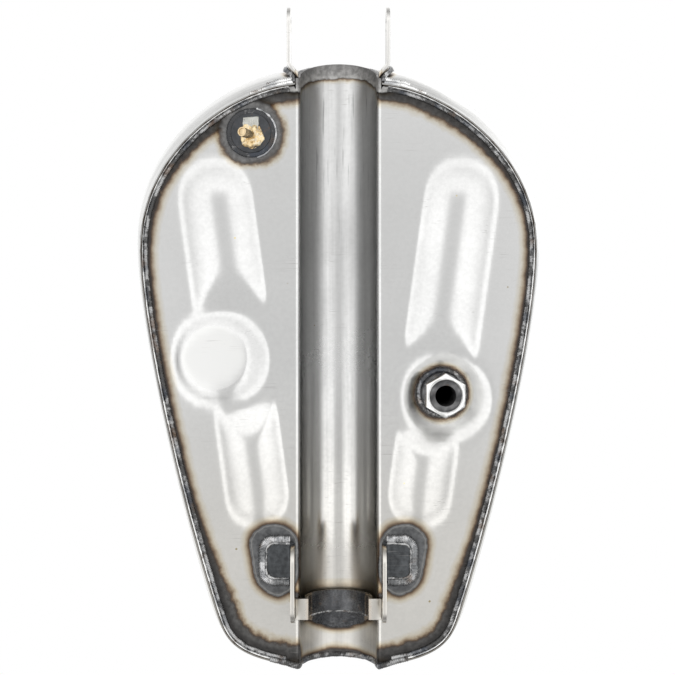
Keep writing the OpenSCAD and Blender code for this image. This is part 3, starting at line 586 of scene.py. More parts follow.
# %% Rolled sheet
def sheet_steel(name, tone, rough, black, fade, tunnel=False, flank=False, ripple=0.10, scales=SCALES):
    """black and fade are the widths of scale and of colours, in millimetres, at each kind of weld."""
    material, tree = new_material(name)
    place = xyz(tree)
    grain = placed(tree, "rolled grain", Cloud=14.0, Mottle=300.0)
    colour = shaded(tree, tone, grain["Shade"])
    gloss = smooth_step(tree, grain["Shade"], 0.90, 1.06, rough + 0.03, rough - 0.03)
    warmed = blend(tree, 1.0, colour, (1.00, 0.978, 0.935), "MULTIPLY")
    colour = blend(tree, along_tank(tree, place, 200, 380), colour, warmed)
    # The floor gets painted shade on the tunnel's sides and a painted reflection on the boss's face
    if tunnel:
        colour, gloss = tunnel_streaks_and_shade(tree, place, colour, gloss)
        colour, gloss = painted_boss_reflection(tree, place, colour, gloss)
    # The shell gets painted shade on its flank next to the seam
    if flank:
        colour = flank_lines_and_shade(tree, place, colour)
    width = seam_scale(tree, place, black["seam"], black["nose"], black["rear"])
    colour, dulled = burn(tree, colour, grain, {**black, "seam": width}, fade, scales)

    lines = placed(tree, "hairlines", Turn=3.0)["Mask"]
    specks = placed(tree, "specks", Spacing=110.0, Size=0.09, Share=0.10)
    colour = blend(tree, times(tree, lines, 0.5), colour, (0.28, 0.27, 0.26))
    rust = blend(tree, specks["Tone"], (0.12, 0.09, 0.06), (0.75, 0.66, 0.40))
    colour = blend(tree, specks["Mask"], colour, rust)
    gloss = plus(tree, gloss, times(tree, dulled, 0.08))
    metal = smooth_step(tree, dulled, 0.0, 1.0, 1.0, 0.75)

    waves = times(tree, noise(tree, object_place(tree), 14.0, 1, 0.4), ripple)
    fine = times(tree, grain["Height"], 0.0003)
    crust = times(tree, times(tree, grain["Height"], dulled), 0.12)
    dents = times(tree, plus(tree, lines, specks["Mask"]), -0.008)
    height = plus(tree, plus(tree, waves, fine), plus(tree, crust, dents))
    surface(tree, colour, gloss, metal, height, 1.0)
    return material


# %% Steel of the floor, of the shell and of the ears
floor_steel = sheet_steel(
    "floor_steel", (0.650, 0.650, 0.644), 0.23, tunnel=True,
    black={
        "seam": 1.5, "nose": 3.8, "rear": 6.0,
        "tail": 3.0, "mouth": 8.0, "patch": 7.5, "vent": 8.0, "ring": 1.0,
    },
    fade={"seam": 7.5, "tail": 5.0, "mouth": 4.0, "patch": 7.0, "vent": 6.0, "ring": 4.5},
)
shell_steel = sheet_steel(
    "shell_steel", (0.66, 0.66, 0.65), 0.24, flank=True, ripple=0.12,
    black={
        "seam": 0.2, "nose": 0.0, "rear": 0.0,
        "tail": 1.0, "mouth": 1.0, "patch": 0.1, "vent": 0.1, "ring": 1.0,
    },
    fade={"seam": 0.4, "tail": 3.0, "mouth": 3.0, "patch": 0.5, "vent": 0.5, "ring": 8.0},
)
ear_steel = sheet_steel(
    "ear_steel", (0.66, 0.65, 0.63), 0.28, ripple=0.03,
    black={
        "seam": 0.1, "nose": 0.0, "rear": 0.0,
        "tail": 0.1, "mouth": 1.0, "patch": 11.0, "vent": 0.1, "ring": 0.5,
    },
    fade={"seam": 0.4, "tail": 1.0, "mouth": 3.0, "patch": 9.0, "vent": 0.5, "ring": 3.0},
    scales={**SCALES, "patch": ((0.060, 0.064, 0.068), (0.045, 0.048, 0.052), 0.2, 1.2, 0.0)},
)
print("finishes so far:", [m.name for m in bpy.data.materials])

# %% [markdown]
# ## The pressed floor
#
# The floor is a single sheet. Its ribs, boss and dish have soft creases, because a press tool has
# rounded corners, and those soft creases carry most of the light. The CAD floor has exact, sharp
# creases. So a fresh sheet is drawn here: first the tunnel's arch, then the bends beside it and
# the flat wings. The wings start 30 mm too low and are pushed up against the CAD floor, as a
# sheet is pressed over a former. What the former doesn't reach is trimmed off, and smoothing
# rounds the creases.


# %% Helpers for working in edit mode
def take(piece):
    """Deselects everything and makes one piece active."""
    if bpy.context.object and bpy.context.object.mode != "OBJECT":
        bpy.ops.object.mode_set(mode="OBJECT")
    bpy.ops.object.select_all(action="DESELECT")
    piece.select_set(True)
    bpy.context.view_layer.objects.active = piece


def open_mesh(piece, kind="VERT", action="DESELECT"):
    take(piece)
    bpy.ops.object.mode_set(mode="EDIT")
    bpy.ops.mesh.select_mode(type=kind)
    bpy.ops.mesh.select_all(action=action)


def close_mesh():
    bpy.ops.object.mode_set(mode="OBJECT")


def started(name, primitive, stretch=(1, 1, 1), place=(0, 0, 0), **settings):
    """Adds a primitive with nothing else selected, stretches it, and puts it in its place."""
    bpy.ops.object.select_all(action="DESELECT")
    primitive(**settings)
    bpy.ops.transform.resize(value=stretch)
    piece = settle(bpy.context.object)
    piece.name = name
    piece.location = place
    return settle(piece)


# %% Helpers that select by place, and that apply a modifier
def pick(piece, kind, wanted):
    """Selects the vertices, edges or faces for which wanted says yes, and counts them."""
    mesh = bmesh.from_edit_mesh(piece.data)
    for part in [*mesh.verts, *mesh.edges, *mesh.faces]:
        part.select_set(False)
    chosen = [part for part in getattr(mesh, kind) if wanted(part)]
    for part in chosen:
        part.select_set(True)
    bmesh.update_edit_mesh(piece.data)
    return len(chosen)


def finish_with(piece, kind, **settings):
    """Adds a modifier with its settings and applies it."""
    take(piece)
    modifier = piece.modifiers.new(kind.lower(), kind)
    for name, value in settings.items():
        setattr(modifier, name, value)
    bpy.ops.object.modifier_apply(modifier=modifier.name)
    return piece


def settle(piece):
    """Puts a piece's place, turn and size into its mesh."""
    take(piece)
    bpy.ops.object.transform_apply(location=True, rotation=True, scale=True)
    return piece


def smooth(piece, angle=35):
    take(piece)
    bpy.ops.object.shade_smooth_by_angle(angle=math.radians(angle))
    return piece


# %% The tunnel's arch, its bends and the flat wings
TUNNEL = 27.0       # radius of the tunnel's underside
WALL = 5.0          # height of the arch's centre over the floor
WING = 138.5        # half of the floor's width
BEND = 3.0          # size of the bend beside the tunnel
FLAT = 30.3         # the wings are flat beyond this distance from the middle
FRONT = -14.0       # the sheet starts ahead of the mouth, and is trimmed there
DROP = 30.0         # how far below the floor the wings wait for the press
NEAR = 0.1          # how close a point has to be to count as on a line

pan = started(
    "pressed_floor", bpy.ops.mesh.primitive_circle_add,
    vertices=80, radius=TUNNEL * MM, location=at(0, FRONT, WALL), rotation=(math.pi / 2, 0, 0),
)
open_mesh(pan)
arch_z = at(0, 0, WALL).z
pick(pan, "verts", lambda v: v.co.z < arch_z - NEAR * MM)
bpy.ops.mesh.delete(type="VERT")
pick(pan, "verts", lambda v: v.co.z < arch_z + NEAR * MM)
bpy.ops.mesh.extrude_vertices_move(TRANSFORM_OT_translate={"value": (0, 0, -WALL * MM)})
for side in (1, -1):
    pick(pan, "verts", lambda v: v.co.z < floor_z + NEAR * MM and abs(v.co.x - side * TUNNEL * MM) < MM)
    reach = side * (WING - TUNNEL) * MM
    bpy.ops.mesh.extrude_vertices_move(TRANSFORM_OT_translate={"value": (reach, 0, 0)})
bpy.ops.mesh.select_all(action="SELECT")
bpy.ops.mesh.extrude_region_move(TRANSFORM_OT_translate={"value": (0, (TAIL - FRONT) * MM, 0)})
print("the folded sheet has", len(bmesh.from_edit_mesh(pan.data).faces), "faces")


# %% Round the two bends, then divide the sheet finely
def runs_along(edge):
    return abs(edge.verts[0].co.y - edge.verts[1].co.y) > MM


def at_bend(edge):
    start = edge.verts[0].co
    return start.z < floor_z + NEAR * MM and abs(abs(start.x) - TUNNEL * MM) < NEAR * MM


bpy.ops.mesh.select_mode(type="EDGE")
pick(pan, "edges", lambda e: runs_along(e) and at_bend(e))
bpy.ops.mesh.bevel(offset=BEND * MM, segments=4, affect="EDGES")
pick(pan, "edges", runs_along)
bpy.ops.mesh.subdivide(number_cuts=242)
flat_edges = pick(pan, "edges", lambda e: abs(e.verts[0].co.x - e.verts[1].co.x) > 50 * MM)
bpy.ops.mesh.subdivide(number_cuts=59)
pick(pan, "verts", lambda v: abs(v.co.x) > FLAT * MM)
bpy.ops.transform.translate(value=(0, 0, -DROP * MM))
close_mesh()
print("sheet has", len(pan.data.polygons), "faces;", flat_edges, "flat rows were divided")

# %% The seam's outline, which the floor's edge and the long beads follow
OUTLINE = [
    ((30, 12), (74, 14), (141.96, 60.4), (140, 130)),
    ((140, 130), (138.04, 199.6), (104, 330), (84, 390)),
    ((84, 390), (77, 411.1), (62, 416), (30, 422)),
]


def seam_points(inset, z, side=1, steps=24):
    """Points along one half of the seam, moved inwards by inset."""
    flat = []
    for knots in OUTLINE:
        flat += interpolate_bezier(*[Vector((x, y, 0)) for x, y in knots], steps)[:-1]
    path = []
    for before, here, after in zip(flat, flat[1:], flat[2:]):
        run = (after - before).normalized()
        inward = Vector((-run.y, run.x, 0))
        spot = here + inset * inward
        path.append(at(side * spot.x, spot.y, z))
    return path


seam = seam_points(0, 0)
print("half of the seam is", round(sum((b - a).length for a, b in zip(seam, seam[1:])) / MM), "mm long")


# %% Press the wings against the CAD floor and trim what missed it
NOSE_LEAN = 16.5 / 30       # the tunnel's mouth leans forward, so a leaning plane cuts it
NOSE_CUT = 8.5
EDGE_INSET = 2.0            # the floor's edge lies this far inside the seam's outline
EDGE_REACH = 7.0            # and only points as near as this are drawn out to it

wings = pan.vertex_groups.new(name="wings")
wings.add([v.index for v in pan.data.vertices if abs(v.co.x) > FLAT * MM], 1.0, "REPLACE")
finish_with(
    pan, "SHRINKWRAP", target=nodes["bottom_pan"], wrap_method="PROJECT", vertex_group="wings",
    use_project_z=True, use_positive_direction=True, use_negative_direction=False,
)
open_mesh(pan)
missed = pick(pan, "verts", lambda v: abs(v.co.x) > FLAT * MM and v.co.z < floor_z - 12 * MM)
bpy.ops.mesh.delete(type="VERT")
bpy.ops.mesh.select_all(action="SELECT")
bpy.ops.mesh.bisect(plane_co=at(0, NOSE_CUT, 0), plane_no=(0, -1, -NOSE_LEAN), clear_outer=True)
# Trimming whole cells leaves steps, so the points on the edge are drawn out to the seam's line
line = [spot.xy for side in (1, -1) for spot in seam_points(EDGE_INSET, 0, side, 90)]
stepped = [v for v in bmesh.from_edit_mesh(pan.data).verts if v.is_boundary and abs(v.co.x) > FLAT * MM]
for v in stepped:
    nearest = min(line, key=lambda spot: (spot - v.co.xy).length_squared)
    if (nearest - v.co.xy).length < EDGE_REACH * MM:
        v.co.xy = nearest
bmesh.update_edit_mesh(pan.data)
close_mesh()
finish_with(pan, "SMOOTH", factor=0.5, iterations=4, use_x=False, use_y=False, vertex_group="wings")
print("trimmed", missed, "points;", len(pan.data.polygons), "faces stay")

# %% Give the sheet its thickness
SHEET = 1.5

downward = sum(1 if p.normal.z < 0 else -1 for p in pan.data.polygons if abs(p.center.x) > 31 * MM)
if downward < 0:
    open_mesh(pan, "FACE", "SELECT")
    bpy.ops.mesh.flip_normals()
    close_mesh()
finish_with(pan, "SOLIDIFY", thickness=SHEET * MM, offset=-1)
smooth(pan, 50)
print("the floor is", SHEET, "mm thick")


# %% Where the heat of each weld comes from
strap_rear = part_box("saddle_strap_weld")[0].y
LENS_HALF = 24.0        # half the length of the strap's weld


def strap_lens(spot):
    """The strap's weld runs out to points at its ends, like a lens."""
    narrow = 0.82 * (1 - 0.8 * min(abs(spot.x) / (LENS_HALF * MM), 1) ** 2)
    return Vector((spot.x, strap_rear + (spot.y - strap_rear) * narrow, spot.z))


def heated(name, spot):
    """Moves a point of a CAD weld to where that weld's heat comes from."""
    if name == "saddle_strap_weld":
        return strap_lens(spot)
    if name == "rear_saddle_strap":
        # Only the strap's front edge was welded, and the heat ran forward from it
        return Vector((spot.x, min(spot.y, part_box(name)[0].y + 4 * MM) - 3.5 * MM, spot.z))
    return spot.copy()


def weld_surface(names):
    """One search tree over the surfaces of several CAD welds."""
    points, faces = [], []
    for name in names:
        mesh = nodes[name].data
        start = len(points)
        points += [heated(name, v.co) for v in mesh.vertices]
        faces += [[start + i for i in p.vertices] for p in mesh.polygons]
    return BVHTree.FromPolygons(points, faces)


WELDS = {
    "seam_mm": weld_surface(["seam_weld_left", "seam_weld_right"]),
    "tail_mm": weld_surface(["tunnel_weld_rear"]),
    "mouth_mm": weld_surface(["tunnel_weld_front", "front_ear_weld_left", "front_ear_weld_right"]),
    "patch_mm": weld_surface(["rear_bracket_weld_left", "rear_bracket_weld_right"]),
    "vent_mm": weld_surface(["vent_plate"]),
    "ring_mm": weld_surface([
        "outlet_bung_weld", "saddle_strap_weld", "rear_saddle_strap", "filler_neck_weld",
    ]),
}


# %% The patch of scale round a flange is a rounded rectangle
SHIELDED = 26.6         # the bends shield the tunnel inside them from the flanges' heat
CORNER = 9.0            # radius of the corners of a flange's patch of scale
TAPER = 0.16            # the patch is narrower towards the rear


def from_flange(spot, low, high):
    """How far a point is from a flange's weld, in millimetres."""
    if abs(spot.x) < SHIELDED * MM:
        return 40.0
    taper = TAPER * max(spot.y - low.y, 0.0)
    low_x, high_x = (low.x, high.x - taper) if high.x > 0 else (low.x + taper, high.x)
    away_x = max(low_x - spot.x, spot.x - high_x) + CORNER * MM
    away_y = max(low.y - spot.y, spot.y - high.y) + CORNER * MM
    away = math.hypot(max(away_x, 0.0), max(away_y, 0.0)) / MM - CORNER
    return max(away, abs(spot.z - high.z) / MM - 3.0, 0.0)


# %% Store the distances on the floor and dress it
flanges = [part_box("rear_bracket_weld_" + word) for word in ("left", "right")]


def store_heat(piece):
    """Writes the distance to each kind of weld, in millimetres, on every point of a piece."""
    for title, welds in WELDS.items():
        layer = piece.data.attributes.new(title, "FLOAT", "POINT")
        near = [welds.find_nearest(v.co)[3] / MM for v in piece.data.vertices]
        if title == "patch_mm" and piece is pan:
            near = [min(from_flange(v.co, *box) for box in flanges) for v in piece.data.vertices]
        layer.data.foreach_set("value", near)
    return piece


def dress(piece, finish, body="tank", stands_for=()):
    """Gives a finished piece its material and the body that it rides on."""
    piece.data.materials.clear()
    piece.data.materials.append(finish)
    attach(piece, body)
    if stands_for:
        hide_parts(*stands_for)
    print(piece.name, "has", len(piece.data.polygons), "faces")
    return piece


store_heat(pan)
dress(pan, floor_steel, stands_for=["bottom_pan"])

# %% [markdown]
# ## The shell
#
# The upper shell is a smooth pressing, so it starts from the CAD surface. A copy's loose
# triangles are merged and paired into quads, its sharp edges are creased, and a Subdivision
# Surface rounds it between them. The creases keep the lip, the tunnel's cut and the filler's
# seat crisp.


# %% A merged copy of a CAD node
def fresh_copy(source, name):
    take(nodes[source])
    bpy.ops.object.duplicate()
    piece = bpy.context.object
    bpy.ops.object.parent_clear(type="CLEAR_KEEP_TRANSFORM")
    piece.name = name
    settle(piece)
    open_mesh(piece, action="SELECT")
    bpy.ops.mesh.remove_doubles(threshold=0.00001)
    close_mesh()
    return piece


# %% Shell skin
shell = fresh_copy("top_shell", "shell_skin")
open_mesh(shell, "FACE", "SELECT")
bpy.ops.mesh.tris_convert_to_quads(face_threshold=math.radians(25), shape_threshold=math.radians(50))
bpy.ops.mesh.select_mode(type="EDGE")
bpy.ops.mesh.select_all(action="DESELECT")
bpy.ops.mesh.edges_select_sharp(sharpness=math.radians(33))
bpy.ops.transform.edge_crease(value=1.0)
close_mesh()
finish_with(shell, "SUBSURF", levels=2, render_levels=2)
smooth(shell, 40)
store_heat(shell)
dress(shell, shell_steel, stands_for=["top_shell"])

# %% [markdown]
# ## Weld beads
#
# A welder lays a bead as a row of small overlapping puddles. The bead here is made the same way:
# one squashed drop is repeated along a line by an Array and bent round it by a Curve modifier.
# Then a Displace with a cloud texture makes each drop a little different.

# %% A cloud texture that roughens a bead
lumps = bpy.data.textures.new("lumps", "CLOUDS")
BEAD_GRAIN = 5
lumps.noise_scale = BEAD_GRAIN * MM
lumps.noise_depth = 3


def roughen(piece, tall):
    return finish_with(piece, "DISPLACE", texture=lumps, strength=tall * MM, mid_level=0.5,
                       texture_coords="LOCAL")


def weld_line(points, closed=False):
    """A temporary curve through points that a bead follows."""
    data = bpy.data.curves.new("weld_line", "CURVE")
    data.dimensions = "3D"
    data.twist_mode = "Z_UP"
    spline = data.splines.new("POLY")
    spline.points.add(len(points) - 1)
    for knot, place in zip(spline.points, points):
        knot.co = (*place, 1)
    spline.use_cyclic_u = closed
    line = bpy.data.objects.new("weld_line", data)
    bpy.context.scene.collection.objects.link(line)
    return line


def lay_bead(name, points, width, tall, pitch=2.3, closed=False, rough=1.0):
    """A weld bead along a row of points; all sizes are in millimetres."""
    drop = (2.1 * pitch * MM, width * MM, tall * MM)
    piece = started(name, bpy.ops.mesh.primitive_uv_sphere_add, drop, segments=8, ring_count=6, radius=0.5)
    line = weld_line(points, closed)
    finish_with(piece, "ARRAY", fit_type="FIT_CURVE", curve=line, use_relative_offset=False,
                use_constant_offset=True, constant_offset_displace=(pitch * MM, 0, 0))
    finish_with(piece, "CURVE", object=line, deform_axis="POS_X")
    bpy.data.objects.remove(line)
    roughen(piece, rough)
    return smooth(piece, 60)


# %% Weld steel, dark with oxide and bright where it has been brushed
def weld_steel(name, dark, bright, share, rough, coarse=1.0, bite=0.10):
    """share is how much of the bead is bright; coarse enlarges its pattern; bite is its relief in mm."""
    material, tree = new_material(name)
    patch = noise(tree, object_place(tree), 170.0 / coarse, 4, 0.65)
    fine = noise(tree, object_place(tree), 900.0 / coarse, 3, 0.6)
    mask = plus(tree, patch, times(tree, fine, 0.3))
    mask = smooth_step(tree, mask, 0.85 - 0.5 * share, 1.0 - 0.5 * share)
    colour = blend(tree, mask, dark, bright)
    blue = smooth_step(tree, noise(tree, object_place(tree), 60.0, 2), 0.52, 0.66, 0.0, 0.55)
    colour = blend(tree, blue, colour, (0.045, 0.055, 0.075))
    brown = noise(tree, object_place(tree, turn=(40, 0, 70)), 75.0, 3)
    brown = smooth_step(tree, brown, 0.56, 0.70, 0.0, 0.6)
    colour = blend(tree, brown, colour, (0.14, 0.085, 0.05))
    gloss = smooth_step(tree, fine, 0.3, 0.7, rough - 0.08, rough + 0.12)
    metal = smooth_step(tree, mask, 0.0, 1.0, 0.65, 1.0)
    surface(tree, colour, gloss, metal, plus(tree, fine, patch), bite)
    return material


# %% Steel of the beads and of the lip
seam_bead = weld_steel("seam_bead", (0.075, 0.074, 0.073), (0.42, 0.42, 0.42), 0.50, 0.32, 1.8, 0.06)
lip_steel = weld_steel("lip_steel", (0.24, 0.24, 0.24), (0.80, 0.80, 0.79), 1.05, 0.22)
bright_bead = weld_steel("bright_bead", (0.14, 0.142, 0.145), (0.50, 0.50, 0.50), 0.62, 0.30)
vent_bead = weld_steel("vent_bead", (0.050, 0.051, 0.054), (0.20, 0.20, 0.20), 0.30, 0.30)
patch_bead = weld_steel("patch_bead", (0.22, 0.225, 0.23), (0.60, 0.60, 0.605), 0.55, 0.23, 2.8, 0.05)
bead_finishes = (seam_bead, lip_steel, bright_bead, vent_bead, patch_bead)
print("finishes of the beads:", [m.name for m in bead_finishes])

# %% The bead and the lip of the seam
for word, side in (("left", 1), ("right", -1)):
    bead = lay_bead("seam_bead_" + word, seam_points(4.3, -0.3, side), 3.4, 2.6, 1.1, rough=0.9)
    dress(bead, seam_bead, stands_for=["seam_weld_" + word])
    # The sheared lip outside the bead stays bright
    lip = lay_bead("seam_lip_" + word, seam_points(1.5, -0.4, side), 3.0, 2.2, 0.9, rough=0.9)
    dress(lip, lip_steel)

# %% [markdown]
# ## Beads round the tunnel, the brackets, the vent, the outlet and the filler
#
# The other beads follow lines that the CAD model gives: a ring round a plate, three sides of a
# flange, or the line where the tunnel comes out of the shell. That last line is found by casting
# rays at the shell from in front and from behind.

# %% Lines for the short beads
shell_tree = weld_surface(["top_shell"])


def arch_line(reach, start_y, heading):
    """Where rays along Y, cast at the tunnel's arch, meet the shell."""
    path = []
    for step in range(25):
        angle = math.pi * step / 24
        start = at(reach * math.cos(angle), start_y, WALL + reach * math.sin(angle))
        hit = shell_tree.ray_cast(start, Vector((0, heading, 0)))[0]
        if hit:
            path.append(hit)
    return path


def ring(centre, radius, normal=Vector((0, 0, 1)), steps=40):
    side = normal.orthogonal().normalized()
    up = normal.cross(side)
    return [centre + radius * MM * (math.cos(a) * side + math.sin(a) * up)
            for a in (2 * math.pi * k / steps for k in range(steps))]


def flange_line(side, grow, z):
    """Round three sides of a rear flange, whose weld's box gives its edges."""
    low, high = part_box("rear_bracket_weld_" + ("left" if side > 0 else "right"))
    x_in = min(abs(low.x), abs(high.x)) - 1.5 * MM
    x_out = max(abs(low.x), abs(high.x)) - (5 - grow) * MM
    y0, y1 = low.y + (5 - grow) * MM, high.y - (5 - grow) * MM
    r = (6 + grow) * MM
    corners = [Vector((x_in, y0, 0))]
    for cx, cy, first in ((x_out - r, y0 + r, -90), (x_out - r, y1 - r, 0)):
        for k in range(7):
            a = math.radians(first + 15 * k)
            corners.append(Vector((cx + r * math.cos(a), cy + r * math.sin(a), 0)))
    corners.append(Vector((x_in, y1, 0)))
    return [Vector((side * p.x, p.y, floor_z + z * MM)) for p in corners]


# %% Lay the short beads
for word, start_y, heading, finish in (("front", -60, 1, bright_bead), ("rear", 480, -1, seam_bead)):
    path = arch_line(TUNNEL + 2.6, start_y, heading)
    bead = lay_bead("tunnel_bead_" + word, path, 3.8, 3.0, rough=0.8)
    dress(bead, finish, stands_for=["tunnel_weld_" + word])

# A bead also closes the tunnel's rear edge, from one wing over the crown to the other
EDGE_RADIUS, EDGE_Y = TUNNEL + 0.7, TAIL - 1.7
foot = [
    (48, 416.6, -0.6), (42, 418.0, -0.7), (36, 419.6, -0.8), (31, 421.2, -0.6),
    (28.4, EDGE_Y - 0.1, 0.6), (27.8, EDGE_Y, 3),
]
edge = [at(*spot) for spot in foot]
for step in range(21):
    angle = math.pi * step / 20
    edge.append(at(EDGE_RADIUS * math.cos(angle), EDGE_Y, WALL + EDGE_RADIUS * math.sin(angle)))
edge += [at(-x, y, z) for x, y, z in reversed(foot)]
dress(lay_bead("tail_edge_bead", edge, 4.6, 4.0, 1.3, rough=1.0), seam_bead)

# %% Beads round the rear flanges, with a brighter second pass inside
for word, side in (("left", 1), ("right", -1)):
    bead = lay_bead("bracket_bead_" + word, flange_line(side, 1.8, -0.8), 7.2, 4.4, 1.0, rough=1.4)
    inner = flange_line(side, -0.9, -2.4)
    second = lay_bead("bracket_second_bead_" + word, inner, 2.1, 2.0, 0.8, rough=2.4)
    dress(second, bright_bead)
    dress(bead, patch_bead, stands_for=["rear_bracket_weld_" + word])

# %% Rings round the vent plate, the outlet and the filler
low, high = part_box("vent_plate")
vent_middle = Vector((*((low + high) / 2).xy, floor_z))
plate_r = (high.x - low.x) / 2 / MM
bead = lay_bead("vent_bead", ring(vent_middle, plate_r + 1.2), 5.0, 1.8, 1.2, True, 0.9)
dress(bead, vent_bead, stands_for=["vent_plate_weld"])
# Towards the tunnel the sheet has drawn up into a low ridge outside the weld
around = ring(vent_middle, plate_r + 3.6, steps=72)
arc = [p for p in around if p.x > vent_middle.x + 0.30 * plate_r * MM]
arc.sort(key=lambda p: math.atan2(p.y - vent_middle.y, p.x - vent_middle.x))
dress(lay_bead("vent_ridge", arc, 1.8, 1.3, 0.9, rough=1.4), patch_bead)

outlet = next(m for m in frame["record"]["mounts"] if m["name"] == "fuel_outlet")
outlet_axis = Vector(outlet["axis"]).normalized()
low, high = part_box("outlet_bung_weld")
round_collar = ring((low + high) / 2 - 0.6 * MM * outlet_axis, 16.0, outlet_axis)
bead = lay_bead("outlet_bead", round_collar, 4.6, 3.0, 2.4, True, 0.8)
dress(bead, seam_bead, stands_for=["outlet_bung_weld"])

low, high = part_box("filler_neck_weld")
neck_middle = (low + high) / 2
round_neck = ring(Vector((*neck_middle.xy, low.z + 0.7 * MM)), 26.0)
bead = lay_bead("filler_bead", round_neck, 4.2, 3.6, 2.4, True, 0.6)
dress(bead, bright_bead, stands_for=["filler_neck_weld"])


# %% Puddled welds: a remeshed copy of the CAD weld, roughened
def puddle(source, name, grain, tall, finish):
    piece = fresh_copy(source, name)
    finish_with(piece, "REMESH", mode="VOXEL", voxel_size=grain * MM, use_smooth_shade=True)
    roughen(piece, tall)
    smooth(piece, 70)
    return dress(piece, finish, stands_for=[source])


for word in ("left", "right"):
    puddle("front_ear_weld_" + word, "ear_puddle_" + word, 0.4, 1.3, bright_bead)

# From each ear's foot the weld is smeared outwards along the nose's flank
for word, side in (("left", 1), ("right", -1)):
    for size, (start, stop, up, width) in {"long": (33, 62, 1.5, 4.5), "short": (33, 50, 4.5, 6.5)}.items():
        trail = []
        for k in range(16):
            spot = at(side * (start + (stop - start) * k / 15), -60, up)
            hit = shell_tree.ray_cast(spot, Vector((0, 1, 0)))[0]
            trail.append(hit + Vector((0, 0.8 * MM * k / 15, 0)))
        smear = lay_bead("nose_smear_%s_%s" % (size, word), trail, width, 2.2, 1.4, rough=2.2)
        dress(smear, lip_steel)

# %% [markdown]
# ## Brackets, fittings and the filler
#
# These are cut, bent, turned or moulded, and the CAD model has their true shapes. What it lacks
# is the small radius that every handled edge has. A copy is merged, its flat faces are joined,
# and a Bevel modifier rounds each edge, so that edges catch a line of light.


# %% A copy with rounded edges
def eased(source, name, width, finish, body="tank", segments=2):
    piece = fresh_copy(source, name)
    open_mesh(piece, action="SELECT")
    bpy.ops.mesh.dissolve_limited(angle_limit=math.radians(0.6))
    close_mesh()
    finish_with(piece, "BEVEL", width=width * MM, segments=segments, limit_method="ANGLE",
                angle_limit=math.radians(38), miter_outer="MITER_ARC")
    smooth(piece, 32)
    store_heat(piece)
    return dress(piece, finish, body, [source])


# %% Mill scale: dark, with worn streaks along a direction
def scale_steel(name, stretch, dark, light, rough=0.42, bare_beyond=None):
    """bare_beyond is how far from the middle plane, in millimetres, scale ends and steel begins."""
    material, tree = new_material(name)
    streaks = noise(tree, object_place(tree, stretch), 1.0, 4, 0.65)
    fine = noise(tree, object_place(tree), 700.0, 2, 0.5)
    worn = smooth_step(tree, plus(tree, streaks, times(tree, fine, 0.18)), 0.45, 0.85)
    colour = blend(tree, worn, dark, light)
    rust = smooth_step(tree, noise(tree, object_place(tree), 240.0, 3, 0.6), 0.62, 0.72, 0.0, 0.5)
    colour = blend(tree, rust, colour, (0.11, 0.07, 0.045))
    gloss = smooth_step(tree, fine, 0.3, 0.7, rough - 0.07, rough + 0.1)
    metal = smooth_step(tree, worn, 0.0, 1.0, 0.6, 0.95)
    if bare_beyond:
        drift = times(tree, maths(tree, "SUBTRACT", fine, 0.5), 2 * MM)
        away = plus(tree, maths(tree, "ABSOLUTE", xyz(tree)["X"]), drift)
        straw = smooth_step(tree, away, bare_beyond * MM, (bare_beyond + 1.2) * MM)
        bare = smooth_step(tree, away, (bare_beyond + 0.6) * MM, (bare_beyond + 6) * MM)
        colour = blend(tree, straw, colour, (0.36, 0.29, 0.22))
        colour = blend(tree, bare, colour, (0.56, 0.54, 0.50))
        crusty = maths(tree, "SUBTRACT", 1.0, bare)
        gloss = plus(tree, times(tree, gloss, crusty), times(tree, bare, 0.28))
        metal = maths(tree, "MAXIMUM", metal, straw)
    surface(tree, colour, gloss, metal, plus(tree, streaks, times(tree, fine, 0.15)), 0.03)
    return material


# %% Bright turned steel, with fine tool marks
def turned_steel(name, tone, rough):
    material, tree = new_material(name)
    marks = noise(tree, object_place(tree, (60, 60, 2600)), 1.0, 2, 0.5)
    smear = noise(tree, object_place(tree), 90.0, 3, 0.6)
    shade = smooth_step(tree, marks, 0.3, 0.7, 0.9, 1.04)
    shade = times(tree, shade, smooth_step(tree, smear, 0.3, 0.7, 0.88, 1.05))
    gloss = smooth_step(tree, smear, 0.3, 0.7, rough - 0.05, rough + 0.08)
    surface(tree, shaded(tree, tone, shade), gloss, 1.0, marks, 0.015)
    return material


def plain_finish(name, tone, other, scale, rough, metallic, grain):
    """A finish whose colour and gloss drift between two tones."""
    material, tree = new_material(name)
    drift = noise(tree, object_place(tree), scale, 4, 0.6)
    fine = noise(tree, object_place(tree), scale * 12, 3, 0.6)
    colour = blend(tree, smooth_step(tree, drift, 0.35, 0.65), tone, other)
    surface(tree, colour, smooth_step(tree, drift, 0.3, 0.7, *rough), metallic, fine, grain)
    return material


# %% Finishes of the strap, the plate and the fittings
strap_scale = scale_steel(
    "strap_scale", (70, 34, 70), (0.050, 0.052, 0.056), (0.19, 0.192, 0.197), 0.27, bare_beyond=18.5
)
plate_scale = scale_steel("plate_scale", (120, 120, 120), (0.040, 0.043, 0.047), (0.085, 0.088, 0.094))
bung_scale = scale_steel("bung_scale", (90, 90, 1500), (0.050, 0.050, 0.052), (0.22, 0.22, 0.22))
nut_steel = turned_steel("nut_steel", (0.80, 0.80, 0.79), 0.16)
neck_steel = turned_steel("neck_steel", (0.66, 0.66, 0.65), 0.24)
tube_brass = turned_steel("tube_brass", (0.72, 0.57, 0.36), 0.28)
print("finishes so far:", [m.name for m in bpy.data.materials])

